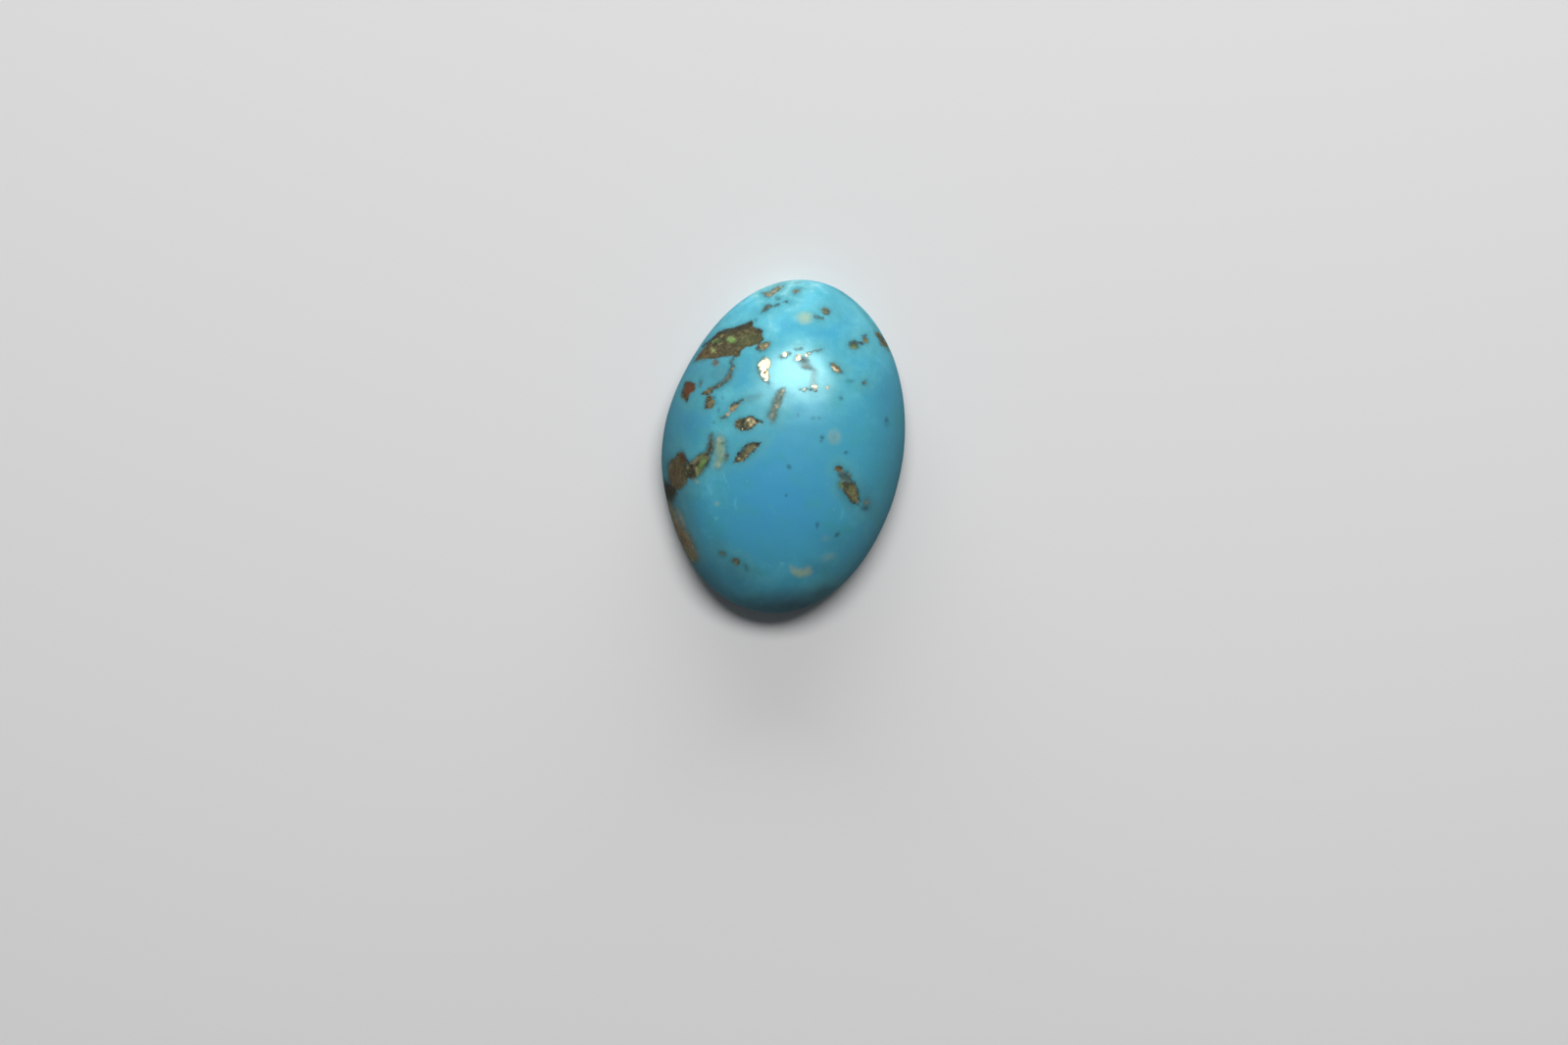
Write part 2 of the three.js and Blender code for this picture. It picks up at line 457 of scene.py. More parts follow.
neighbours = output_of(ground, "GeometryNodeInputMeshEdgeNeighbors", "Face Count")
open_edge = maths("COMPARE", neighbours, 1.0, 0.5)
edge_curve = output_of(ground, "GeometryNodeMeshToCurve", "Curve", {"Mesh": dome, "Selection": open_edge})
back = output_of(ground, "GeometryNodeFillCurve", "Mesh", {"Curve": edge_curve}, mode="NGONS")
back = output_of(ground, "GeometryNodeFlipFaces", "Mesh", {"Mesh": back})
both = place_node(ground, "GeometryNodeJoinGeometry")
for part in (back, dome):
    ground.links.new(part.socket, both.inputs["Geometry"])
whole = Field(ground, both.outputs["Geometry"])
closed = output_of(
    ground, "GeometryNodeMergeByDistance", "Geometry", {"Geometry": whole, "Distance": HAIR}
)
smooth = output_of(ground, "GeometryNodeSetShadeSmooth", "Geometry", {"Geometry": closed}, domain="FACE")
crisp = output_of(
    ground,
    "GeometryNodeSetShadeSmooth",
    "Geometry",
    {"Geometry": smooth, "Selection": on_back(ground), "Shade Smooth": False},
    domain="EDGE",
)
end_tree(ground, crisp, given)

polished = bpy.data.materials.new("polished turquoise")
sawn = bpy.data.materials.new("sawn back")
stone = bpy.data.objects.new("cabochon", bpy.data.meshes.new("cabochon"))
bpy.context.scene.collection.objects.link(stone)
run_tree(
    stone,
    ground,
    {
        "Rings": RINGS,
        "Lowest corner": tuple(stone_low),
        "Highest corner": tuple(stone_high),
        "Polished": polished,
        "Sawn": sawn,
    },
)
print("materials", [material.name for material in stone.data.materials])

# %% [markdown]
# ## Where the inclusions lie
# Matrix is the old brown rock that the turquoise grew in. Its patches were read off the photograph one by
# one, each as a few corners, a line with a width, or an oval, in the photograph's pixels. Painting them
# on a picture would tie the stone to one view, so each corner of the mesh gets the distance to the
# nearest patch instead. The finish then turns that distance into a crisp, ragged edge at any size.

# %% Shapes of inclusions
TINY = 1e-9


def along_line(places, a, b):
    """How far along the line from a to b each place lies, from 0 to 1, and its distance from that line."""
    line = b - a
    share = np.clip((places - a) @ line / max(line @ line, TINY), 0, 1)
    return share, np.hypot(*(places - a - share[:, None] * line).T)


def patch(*outline):
    """An area with these corners, in pixels."""
    corners = np.array(outline, float)

    def gap(places):
        best = np.full(len(places), np.inf)
        inside = np.zeros(len(places), bool)
        for a, b in zip(corners, np.roll(corners, -1, axis=0)):
            best = np.minimum(best, along_line(places, a, b)[1])
            crosses = (a[1] > places[:, 1]) != (b[1] > places[:, 1])
            rise = b[1] - a[1] if b[1] != a[1] else 1.0
            meets = a[0] + (places[:, 1] - a[1]) * (b[0] - a[0]) / rise
            inside ^= crosses & (places[:, 0] < meets)
        return np.where(inside, -best, best)

    return gap


def vein(*path):
    """A line through these places, each with its own width: x, y and width in pixels."""
    steps = np.array(path, float)

    def gap(places):
        best = np.full(len(places), np.inf)
        for a, b in zip(steps, steps[1:]):
            share, distance = along_line(places, a[:2], b[:2])
            best = np.minimum(best, distance - (a[2] + (b[2] - a[2]) * share) / 2)
        return best

    return gap


def spot(x, y, wide, high, turn=0):
    """An oval in pixels, its wide axis turned from level, clockwise in degrees."""
    lean = math.radians(turn)

    def gap(places):
        dx, dy = places[:, 0] - x, places[:, 1] - y
        along = dx * math.cos(lean) + dy * math.sin(lean)
        across = dy * math.cos(lean) - dx * math.sin(lean)
        return (np.hypot(along / (wide / 2), across / (high / 2)) - 1) * min(wide, high) / 2

    return gap


# %% [markdown]
# ## Brown matrix and golden pyrite
# The patches are listed region by region, and each large one is followed by the dark edges and pale
# grains that lie on it. Tone runs from 0, nearly black, over 0.3, olive brown, and 1, golden tan, to
# 1.25, pale gold. Shine is the share of pyrite grains, soft is half the width of the edge in millimetres,
# strength is how much of the blue is covered, and grain is how strongly small dark and pale grains stand
# out. Scattered patches would be quicker to write, but they would make another stone.

# %% What a patch of matrix is
Matrix = namedtuple("Matrix", "name gap tone shine soft strength grain", defaults=(0.0, 0.1, 1.0, 0.5))


def tell(title, marks):
    """Prints how many marks a list holds, and the first and the last of them."""
    print(f"{title}: {len(marks)}, from {marks[0].name} to {marks[-1].name}")


# %% Matrix of the upper left
UPPER_LEFT = [
    Matrix(
        "upper left field",
        patch(
            (708, 370), (714, 359), (721, 351), (733, 339), (741, 338), (747, 335.5), (756, 332),
            (767, 328.5), (768, 332), (772, 335), (778, 337), (778, 343), (780, 346.5), (771.5, 352),
            (761.5, 354), (757, 358), (755, 363), (751, 365), (746, 363), (740, 364), (727, 366),
            (717, 366),
        ),
        0.31, grain=0.25,
    ),
    # dark rock edge, partly painted shade of the sunken field's upper wall
    Matrix(
        "field dark edge",
        vein((717, 354, 2), (734, 339.5, 3), (757, 333, 4), (767, 330, 5)),
        0.1, soft=0.16, grain=0.3,
    ),
    Matrix("field dark corner", spot(775, 338, 8, 6, 20), 0.14, soft=0.2, grain=0.3),
    Matrix("field brown end", spot(719, 362, 14, 8, -35), 0.36, soft=0.3, grain=0.3),
    Matrix("field dark flecks", vein((729, 351, 2), (732, 348, 2.6), (736, 345, 2.2)), 0.02, soft=0.14),
    Matrix("field pale fleck", vein((728, 347.5, 1.8), (732, 345.5, 1.6)), 0.72),
    Matrix("field lower fleck", vein((732.5, 350.5, 1.4), (737, 349, 1.6)), 0.66),
    Matrix("field upper fleck", spot(736.5, 342.5, 3, 1.8, -30), 0.62, strength=0.8),
    Matrix("field pale corner", patch((724.5, 354), (727, 355), (731, 360), (726.5, 359)), 0.9),
    Matrix("field grey fleck", spot(762.5, 337.5, 4, 2.2, -20), 0.85, strength=0.5),
    Matrix(
        "tan lobe",
        patch((772, 354), (775, 350), (781, 348), (785.5, 349), (785, 354), (780, 358)),
        0.6, soft=0.16,
    ),
    Matrix("tan lobe shade", vein((774.5, 350, 2.6), (773, 355, 3), (776, 358, 2)), 0.24, soft=0.18),
    Matrix("vein cloud", spot(736, 381, 17, 13, -40), 0.5, soft=0.8, strength=0.16),
    Matrix("small square", spot(730, 370, 7, 7.5), 0.56, soft=0.2, strength=0.85),
    Matrix(
        "crooked vein",
        vein((746.5, 378, 4.6), (743.5, 385, 5.4), (738, 390, 4.2), (732, 394, 5), (726, 397, 3.4)),
        0.24, soft=0.2, strength=0.95,
    ),
    Matrix(
        "vein wisp",
        vein((748, 366, 3.4), (745.5, 370, 3.4), (748, 374, 3)),
        0.25, soft=0.2, strength=0.8,
    ),
    Matrix(
        "vein head",
        patch((746, 372), (750, 372), (750, 376), (746, 380), (744.5, 378)),
        0.34, soft=0.14,
    ),
    Matrix("vein grain", spot(748.6, 374.6, 2.4, 2), 0.95),
    Matrix("vein upper bead", spot(743, 385.5, 4.4, 5, 30), 0.42, soft=0.12),
    Matrix("vein lower bead", spot(733, 393, 4, 3.4, -40), 0.44, soft=0.12),
    Matrix(
        "vein foot",
        patch((722, 396.5), (727, 393.5), (729, 396), (726.5, 401), (721, 402.5), (716, 402)),
        0.5,
    ),
    Matrix("vein foot shade", vein((718, 402, 2), (723, 402.5, 2.6)), 0.2, soft=0.14),
    Matrix(
        "vein toe",
        patch((720.5, 404), (725, 403.5), (730.5, 410), (727, 416.5), (719, 417), (721, 411)),
        0.48,
    ),
    Matrix("vein toe grain", spot(725.5, 411, 3.4, 3), 0.74),
    Matrix("vein toe shade", vein((720.5, 406, 2), (721, 411, 2.2), (719.5, 416.5, 2.6)), 0.2, soft=0.14),
    Matrix("vein bit", spot(714.8, 391, 3, 6, 15), 0.3, soft=0.16, strength=0.75),
    Matrix(
        "rust patch",
        patch(
            (694, 404), (697, 397), (698.5, 390), (705, 389), (709.5, 392), (709, 398), (704, 402.5),
            (701, 410.5),
        ),
        0.27, soft=0.14, grain=0.3,
    ),
    Matrix(
        "rust dark side",
        vein((699.5, 390.5, 2), (697, 400, 3.4), (701, 407.5, 2.4)),
        0.14, soft=0.18,
    ),
]
tell("upper left", UPPER_LEFT)

# %% Matrix of the middle
MIDDLE = [
    Matrix(
        "small lens tail",
        vein((757, 409, 3), (766, 406, 4), (775, 403.5, 2)),
        0.5, soft=0.4, strength=0.3,
    ),
    Matrix(
        "small lens",
        patch((743, 420.5), (745, 415), (749, 412.5), (755, 410), (752.5, 415), (750, 420)),
        0.78, grain=0.3,
    ),
    Matrix("small lens edge", vein((746, 414, 1.6), (750, 411, 2), (757, 408.5, 3)), 0.16, soft=0.16),
    Matrix("lens grain", spot(742.2, 422.6, 5, 4.4, -35), 1.0, grain=0.2),
    Matrix(
        "lens foot",
        vein((735.5, 426.5, 2), (738.5, 425.5, 3), (742, 426, 2)),
        0.34, soft=0.16, strength=0.9,
    ),
    Matrix(
        "golden cluster",
        patch(
            (749, 434), (750.5, 429), (754, 427), (759.5, 427), (763, 424.5), (768, 424.5), (771, 427),
            (777, 430), (770, 434.5), (767, 438.5), (758, 440), (752, 438),
        ),
        0.34, soft=0.14,
    ),
    Matrix("cluster brown side", spot(752.5, 432.5, 5, 7), 0.44, soft=0.18),
    Matrix("cluster top lump", spot(764.5, 428, 5.6, 4.4, -10), 1.02, grain=0.3),
    Matrix("cluster right lump", spot(769.5, 429.8, 5, 4.4, 20), 1.02, grain=0.3),
    Matrix("cluster middle lump", spot(766, 433.2, 5.4, 4, 30), 0.98, grain=0.3),
    Matrix("cluster left lump", spot(761, 431.6, 3.6, 3.6), 0.62),
    Matrix("cluster end lump", spot(773, 431.4, 3.4, 2.6, 10), 0.66),
    Matrix("cluster dark heart", vein((758.5, 427, 2.4), (758, 433, 3), (756.5, 437, 2.4)), 0.1),
    Matrix("cluster dark tip", vein((771, 427.5, 2), (777, 430.5, 3)), 0.08),
    Matrix("cluster dark foot", vein((755, 438.5, 2), (760, 438.5, 3.4), (767, 437, 2.4)), 0.06),
    Matrix("cluster glint", spot(757.6, 437.8, 2, 1.3), 0.95, 1.0, grain=0.0),
    Matrix("cluster long glint", spot(763.6, 436.8, 2.6, 1.3, -15), 1.1, grain=0.0),
    Matrix(
        "crown streak",
        patch(
            (793.5, 399), (797, 395.5), (801, 395.5), (801.5, 401), (799, 406), (797.5, 412),
            (794.5, 418), (793, 425), (790.5, 430.5), (787, 431), (783, 426), (785.5, 418), (788.5, 410),
            (790.5, 403),
        ),
        0.46, soft=0.28, strength=0.74,
    ),
    Matrix("streak tan core", vein((796, 402, 3), (792.5, 412, 4.4), (789.5, 420, 3.4)), 0.62, soft=0.26),
    Matrix(
        "streak dark side",
        vein((783.5, 425, 3), (786.5, 416, 2.6), (790, 405, 1.6)),
        0.26, soft=0.3, strength=0.6,
    ),
    Matrix("streak head grains", spot(798.8, 398.6, 3.6, 2.8, -40), 1.15, soft=0.16),
    Matrix("streak upper grain", spot(796.4, 402.4, 2.4, 2), 1.0, soft=0.12),
    Matrix("streak middle grain", spot(792.6, 415.6, 2, 2.4), 0.95, soft=0.12),
    Matrix("streak lower grain", spot(787.6, 423.4, 2, 3, 20), 0.66, soft=0.14),
    Matrix("streak dark fleck", vein((794, 408, 1.2), (792, 411, 1.4)), 0.2, soft=0.14, strength=0.7),
    Matrix("streak dark foot", spot(789.5, 429.5, 3.4, 2.6), 0.24, soft=0.2, strength=0.8),
    Matrix(
        "dark-edged lens",
        patch(
            (748, 471), (753, 464.5), (762, 454), (767, 451.5), (776, 452), (772, 458), (763.5, 465),
            (757, 471),
        ),
        0.5,
    ),
    Matrix("lens tan heart", spot(765.5, 458, 14, 6.6, -42), 0.56, soft=0.2, grain=0.2),
    Matrix("lens dark tip", patch((769.5, 452), (777, 451), (774, 456.5), (771.5, 455)), 0.06),
    Matrix("lens dark foot", patch((747, 471.5), (752, 466), (756, 463), (758, 465.5), (755, 470)), 0.16),
    Matrix("lens foot grain", spot(754, 467.5, 4, 3, -40), 0.66),
    Matrix(
        "lens dark edge",
        vein((753, 464, 2), (758, 457.5, 2.4), (763, 453, 2), (769, 451.5, 1.6)),
        0.1,
    ),
    Matrix("lens lower edge", vein((757, 471, 1.6), (764, 465, 1.4), (772, 458, 1.6)), 0.22),
]
tell("middle", MIDDLE)

# %% Matrix of the left rim
LEFT_RIM = [
    Matrix(
        "left rim field",
        patch(
            (681, 476), (682, 471), (688, 466.5), (692.5, 461.5), (697, 460.5), (700, 467), (701, 477),
            (703, 486), (700, 494), (694, 500), (687, 500), (682, 491),
        ),
        0.45, soft=0.2, grain=0.25,
    ),
    Matrix("rim field dark top", spot(696, 468, 8, 14, -10), 0.2, soft=0.3, strength=0.7, grain=0.3),
    Matrix(
        "rim field foot",
        patch((676, 490), (683, 493), (691, 499), (690, 504), (686, 513), (682, 515)),
        0.18, soft=0.3, grain=0.2,
    ),
    Matrix(
        "chain floor",
        patch(
            (697, 474), (706, 470), (711, 465), (718, 461), (725, 459), (725, 467), (723, 474),
            (719, 479.5), (714, 485), (708, 489), (698, 488),
        ),
        0.34, soft=0.3, grain=0.4,
    ),
    Matrix(
        "chain dark link",
        patch((700, 474), (704, 472), (707, 479), (707.5, 486), (704, 489), (701, 487)),
        0.12,
    ),
    Matrix("chain dark bridge", vein((698, 466, 4), (702, 472, 4), (705, 474, 3)), 0.1, soft=0.16),
    Matrix("chain pale bit", spot(704.5, 472.5, 3, 2.6), 0.66),
    Matrix("chain white bit", spot(701.8, 476.8, 3, 4, 20), 0.74, strength=0.8),
    Matrix(
        "left chain",
        patch(
            (706, 473), (708, 468), (712, 465.5), (717, 462), (722, 461.5), (721.5, 466), (724.5, 470),
            (722, 473), (722.5, 476.5), (716, 478), (714, 483), (710, 487), (709, 480),
        ),
        0.3, soft=0.16,
    ),
    Matrix(
        "chain pale foot",
        vein((710.4, 475, 1.6), (710.6, 480, 2.2), (709.6, 485, 1.6)),
        0.85, strength=0.8,
    ),
    Matrix("chain pale knee", vein((709.6, 469.4, 2.2), (706.6, 471.6, 1.6)), 0.85, strength=0.8),
    Matrix("chain yellow foot", spot(711.6, 481.5, 3, 8, 22), 0.7),
    Matrix("chain yellow top", spot(711, 467.5, 3.2, 2.4, -30), 0.75),
    Matrix("chain yellow knee", spot(708.6, 472, 2.6, 3.4, 20), 0.6),
    Matrix("chain tan bit", spot(714.5, 469, 3, 4, 20), 0.56),
    Matrix("chain pale eye", spot(718.5, 463.2, 3, 1.8, -20), 0.74),
    Matrix("chain dark eye", spot(720.5, 465, 4.6, 4, 20), 0.06),
    Matrix("chain dark drop", vein((721.5, 469, 1.6), (720.5, 475, 2.4)), 0.06),
    Matrix("chain dark knot", vein((711, 474, 3), (714.5, 473, 2.2), (715, 478, 2)), 0.06),
    Matrix("chain dark foot", spot(709, 484.5, 3, 4), 0.08),
    Matrix(
        "chain tail",
        vein((725.5, 444, 3.6), (725.5, 452, 6), (723.5, 460, 6.6), (721.5, 466, 5)),
        0.38, soft=0.3,
    ),
    Matrix(
        "chain tail shade",
        vein((728, 448, 2), (728, 456, 2.6), (726, 463, 3)),
        0.2, soft=0.2, strength=0.85,
    ),
    Matrix(
        "left strip",
        vein((734, 448.5, 9), (733.5, 455, 10), (734, 468, 8), (732.5, 475, 5)),
        0.8, soft=0.5, strength=0.3,
    ),
    Matrix(
        "strip yellow line",
        vein((733.5, 453, 3), (734.5, 456, 5), (737, 464, 4), (735, 471, 2)),
        0.78, soft=0.3, strength=0.5,
    ),
    Matrix(
        "strip right line",
        vein((740.5, 450, 1.4), (741, 458, 2), (740.5, 468, 1.4)),
        0.36, soft=0.2, strength=0.55,
    ),
    Matrix("strip dark mark", spot(736.5, 452.5, 3, 2.6), 0.12, soft=0.16, strength=0.7, grain=0.0),
    Matrix("strip dark foot", spot(739, 469, 4.4, 4), 0.2, soft=0.2, strength=0.9),
    Matrix("red bit", spot(741.4, 465.5, 4.6, 7.2), 0.4, soft=0.16, grain=0.3),
    Matrix(
        "lower left rim",
        vein((681, 516, 9), (687, 535, 16), (696, 552, 20), (706, 568, 13)),
        0.68, soft=0.46, grain=0.25,
    ),
    Matrix(
        "rim pale streak",
        vein((692, 521, 3), (695, 528, 4), (698, 536, 3)),
        0.9, soft=0.3, strength=0.6, grain=0.1,
    ),
]
tell("left rim", LEFT_RIM)

# %% Matrix of the right
RIGHT = [
    Matrix(
        "right lens floor",
        patch((856, 481), (862, 480), (868, 484), (871, 491), (866, 493), (859, 492), (857, 487)),
        0.26, soft=0.26, strength=0.8,
    ),
    Matrix(
        "right lens head",
        patch(
            (851, 480), (852.5, 475.5), (856, 474), (859.5, 475.5), (861, 481), (859.5, 485), (856, 482),
        ),
        0.36,
    ),
    Matrix("right lens chin", vein((856.5, 482.5, 2.4), (858, 486, 3)), 0.14, soft=0.14, strength=0.9),
    Matrix(
        "right lens neck",
        patch((860, 482), (864.5, 482), (868, 486), (867.5, 489), (862, 488)),
        0.16, soft=0.16, strength=0.8,
    ),
    Matrix("right lens bead", spot(865, 481, 3, 3.4), 0.1, strength=0.9),
    Matrix("neck glint", spot(866, 484, 2.6, 1.6, 30), 0.9, strength=0.7),
    Matrix(
        "right lens body",
        patch(
            (857, 493.5), (859.5, 491.5), (864, 491), (869.5, 490.5), (873, 495), (876, 502),
            (876.5, 510), (874.5, 514.5), (870.5, 513.5), (865.5, 507.5), (861, 500),
        ),
        0.48, soft=0.14, grain=0.35,
    ),
    Matrix("body green bit", spot(857.6, 494.5, 4, 7), 0.5, soft=0.16),
    Matrix(
        "body dark brow",
        patch((861, 492), (869, 491), (869.5, 494), (865, 499.5), (862, 497)),
        0.2, soft=0.2,
    ),
    Matrix("body pale middle", spot(871.5, 503.5, 5.4, 15, -20), 0.6, soft=0.24, grain=0.2),
    Matrix("body pale foot", spot(870, 509, 3, 3.4, -30), 0.54, soft=0.16),
    Matrix(
        "body dark edge",
        vein((860.5, 499, 2.2), (866, 507, 2.4), (871, 513.5, 2.6), (875, 514.5, 2)),
        0.1, soft=0.14,
    ),
    Matrix(
        "body right edge",
        vein((871, 491, 1.6), (875.8, 501, 1.8), (876.6, 511, 1.6)),
        0.2, soft=0.14,
    ),
    Matrix("right tan spot", spot(884.5, 512.5, 6.4, 6), 0.66, soft=0.25, strength=0.65, grain=0.3),
    Matrix("right dark foot", spot(883, 518, 5.4, 4), 0.04, soft=0.25, strength=0.75),
    Matrix("right oval", spot(871.3, 352.6, 10.5, 8, 8), 0.28, soft=0.16, strength=0.92, grain=0.25),
    Matrix(
        "right oval brow",
        vein((867, 349.5, 2), (872, 348.5, 2.4), (880, 350.5, 3)),
        0.14, soft=0.16, grain=0.25,
    ),
    Matrix("right small oval", spot(883.2, 346.4, 5.4, 8, -30), 0.46, soft=0.14, grain=0.25),
    Matrix("small oval brow", vein((880.5, 343, 1.8), (884, 342, 2)), 0.16, soft=0.14),
    Matrix(
        "upper right rim",
        vein((852, 291, 2), (872, 305, 3), (890, 324, 4), (896, 336, 3)),
        0.42, soft=0.3, strength=0.25, grain=0.2,
    ),
    Matrix(
        "right rim seam",
        patch((893, 337), (898, 339), (904, 351), (906, 358), (900, 353), (895, 343)),
        0.36, soft=0.2,
    ),
    Matrix("right brown dot", spot(882.3, 390.8, 4.4, 4.2), 0.36, soft=0.16, strength=0.85),
]
tell("right", RIGHT)

# %% Matrix of the upper end
UPPER = [
    Matrix(
        "top wedge",
        patch((778, 298), (784, 298), (792, 293), (800, 291.5), (796, 296), (785, 303.5), (781, 302.5)),
        0.64, soft=0.16, strength=0.9,
    ),
    Matrix("top wedge foot", vein((779, 299, 2), (782, 303, 2.4)), 0.3, soft=0.16, strength=0.4),
    Matrix(
        "top dark blob",
        patch((775.5, 320), (780, 311.5), (785, 310), (788.5, 312), (784, 317)),
        0.26, soft=0.2, strength=0.85,
    ),
    Matrix("blob tan heart", spot(784.5, 313, 3.6, 3, -30), 0.6, strength=0.8),
    Matrix("top dark tail", vein((790, 312, 2), (795, 310, 2.6)), 0.18, soft=0.14, strength=0.8),
    Matrix("top bit", spot(802, 307.8, 5, 2.6), 0.36, soft=0.14, strength=0.85),
    Matrix("top small bit", spot(794, 304.5, 3, 2), 0.22, soft=0.14, strength=0.7),
    Matrix("top right bit", spot(812.8, 297.3, 7, 4.6, -25), 0.42, soft=0.18, strength=0.9),
    Matrix(
        "cream tail",
        vein((831, 322.5, 2), (835, 324, 3), (839.5, 325, 2)),
        0.24, soft=0.16, strength=0.75,
    ),
    Matrix(
        "upper right knot",
        spot(842.3, 317.6, 10, 7.4, 25),
        0.38, soft=0.16, strength=0.9, grain=0.35,
    ),
    Matrix("knot tan heart", spot(841.5, 318, 4, 3.4), 0.64, strength=0.8),
    Matrix(
        "gold lens",
        patch((846.5, 371), (851, 369.5), (856, 373.5), (859, 378.5), (855.5, 381.5), (851, 379)),
        0.46, soft=0.16, grain=0.3,
    ),
    Matrix("gold lens tip", spot(859, 379.5, 3.4, 3), 0.14, soft=0.14),
    # pale pyrite bar whose brightness is partly a painted glint: a pale tone, with no shine
    Matrix(
        "gold lens bar",
        vein((848.5, 373.5, 2), (852, 376.5, 2.6), (855, 378.5, 1.6)),
        1.25, grain=0.0,
    ),
    Matrix(
        "bright grain edge",
        vein((779, 365, 2), (774, 371, 2), (773.5, 379, 2.4), (778, 386, 3), (784, 391, 3)),
        0.4, soft=0.2, strength=0.75,
    ),
    Matrix("bright grain", spot(780.4, 373, 11.5, 16, 18), 0.95, 1.0),
    Matrix("bright grain neck", spot(780, 381, 8.5, 8, 10), 0.95, 1.0),
    Matrix("bright grain slit", vein((779.5, 380, 1.8), (783, 376.5, 1.6)), 0.4),
    Matrix("bright grain foot", spot(782, 385.4, 5.4, 5), 0.95, 1.0),
    Matrix(
        "highlight grain edge",
        vein((797, 364.5, 3), (801, 364, 3), (806, 360, 2.4)),
        0.34, soft=0.2, strength=0.75,
    ),
    Matrix("highlight grain", spot(801, 361.5, 6, 4.8, -35), 1.1, 0.7),
    Matrix(
        "cluster smear",
        vein((812, 366, 4), (819, 369, 7), (827, 375, 5)),
        0.66, soft=0.4, strength=0.45,
    ),
    Matrix("cluster body", spot(820, 367, 10, 5.6, 25), 0.44, soft=0.18),
    Matrix("cluster grain", spot(815, 364, 6.6, 4.8, -25), 1.1, 0.68),
    Matrix("cluster small grain", spot(823.2, 362.3, 4.4, 4), 1.1, 0.9),
    Matrix(
        "cluster beam",
        vein((819, 374, 2.4), (824, 374.5, 4), (830.5, 377, 2.4)),
        0.48, soft=0.18, strength=0.95,
    ),
    Matrix("highlight streak", vein((811, 356, 2.4), (818, 355.5, 3)), 0.4, soft=0.22, strength=0.65),
    Matrix(
        "highlight hair",
        vein((824, 360, 1.8), (831, 358, 1.6), (838, 356.5, 2)),
        0.3, soft=0.16, strength=0.75,
    ),
    Matrix(
        "grey streak",
        vein((831, 379, 3), (830, 385, 4.4), (829.5, 391, 4)),
        0.85, soft=0.5, strength=0.42,
    ),
    Matrix("lower grain edge", vein((826.5, 397.5, 2), (833, 398.5, 1.6)), 0.2, soft=0.14),
    Matrix("lower grain", spot(831, 394.6, 7.4, 5, 10), 0.95, 1.0),
    Matrix(
        "lower small edge",
        vein((816.5, 397.5, 2), (820, 399, 1.6), (823.5, 396.5, 1.6)),
        0.24, soft=0.14, strength=0.8,
    ),
    Matrix("lower small grain", spot(820.5, 396.8, 4, 2.2, -15), 0.95, 1.0),
    Matrix("lowest grain", spot(844.7, 395, 3, 4), 0.95, 1.0),
]
tell("upper end", UPPER)

# %% Matrix of the lower end
LOWER = [
    Matrix("lower left dot", spot(737, 564.5, 6.4, 4.6, 25), 0.42, soft=0.2, strength=0.85, grain=0.25),
    Matrix("lower left knot", spot(751, 572.5, 9, 6.4, 15), 0.44, soft=0.18, strength=0.92, grain=0.3),
    Matrix("knot tan middle", spot(752, 571.5, 3.4, 3), 0.66, soft=0.14),
    Matrix("lower left hair", vein((760, 577, 2), (762, 581, 1.6)), 0.16, soft=0.2, strength=0.5),
    Matrix("bottom rim bit", spot(839, 603, 13, 5, -20), 0.16, soft=0.5, strength=0.4),
]
tell("lower end", LOWER)

# %% All the matrix
MATRIX = UPPER_LEFT + MIDDLE + LEFT_RIM + RIGHT + UPPER + LOWER
print(len(MATRIX), "matrix patches")

# %% [markdown]
# ## Cream, green, rust and dark spots
# Other marks only colour what they lie on and leave the surface as it is, so they are tints and not
# matrix. Cream, scratches, specks and shades lie on the blue, green and rust on the matrix. Strength is a
# tint's share of the colour, and soft is the width of its edge in millimetres. One painted picture could
# hold them all, but a list can be read and changed mark by mark.

# %% Cream and scratches
Tint = namedtuple("Tint", "name gap strength soft", defaults=(0.25,))
CREAM = [
    Tint("top cream", spot(821.5, 324.5, 14, 11), 0.52, 0.5),
    Tint("top cream side", spot(815, 323, 8, 7), 0.3, 0.5),
    Tint("right cream", spot(851.5, 445.5, 13, 14), 0.25, 0.6),
    Tint("right cream arc", vein((848, 440, 2.4), (847, 446, 3.4), (851, 451, 3)), 0.34, 0.4),
    Tint("right cream heart", spot(855, 444.5, 5, 4.6), 0.4, 0.35),
    Tint(
        "left cream",
        vein((735, 448, 7), (734.5, 454, 9), (735.5, 461, 8), (735.5, 467, 5), (733, 474, 6)),
        0.42, 0.4,
    ),
    Tint("left cream side", vein((730, 458, 3), (730, 466, 3.4), (728, 477, 3)), 0.25, 0.4),
    Tint("left cream foot", spot(732.8, 474, 5.6, 4.8), 0.5, 0.3),
    Tint(
        "bottom cream",
        patch(
            (806.5, 578), (812, 580.5), (818, 580), (826, 578.5), (829, 583.5), (824, 587.5), (816, 589),
            (808, 585),
        ),
        0.6, 0.5,
    ),
    Tint("bottom cream heart", spot(816, 585, 10, 3.6), 0.72, 0.35),
    Tint("faint lower cream", spot(846, 568, 11, 6, -20), 0.28, 0.6),
    Tint("low olive dot", spot(731.5, 513.5, 4, 4), 0.3),
    Tint("faint cream", spot(843, 549.5, 6, 4), 0.18, 0.5),
    Tint("right lens gap", spot(862.5, 489.5, 7, 3, 10), 0.4, 0.25),
    Tint("chain foot", vein((708, 488, 2.4), (712, 492, 1.6)), 0.55, 0.25),
]
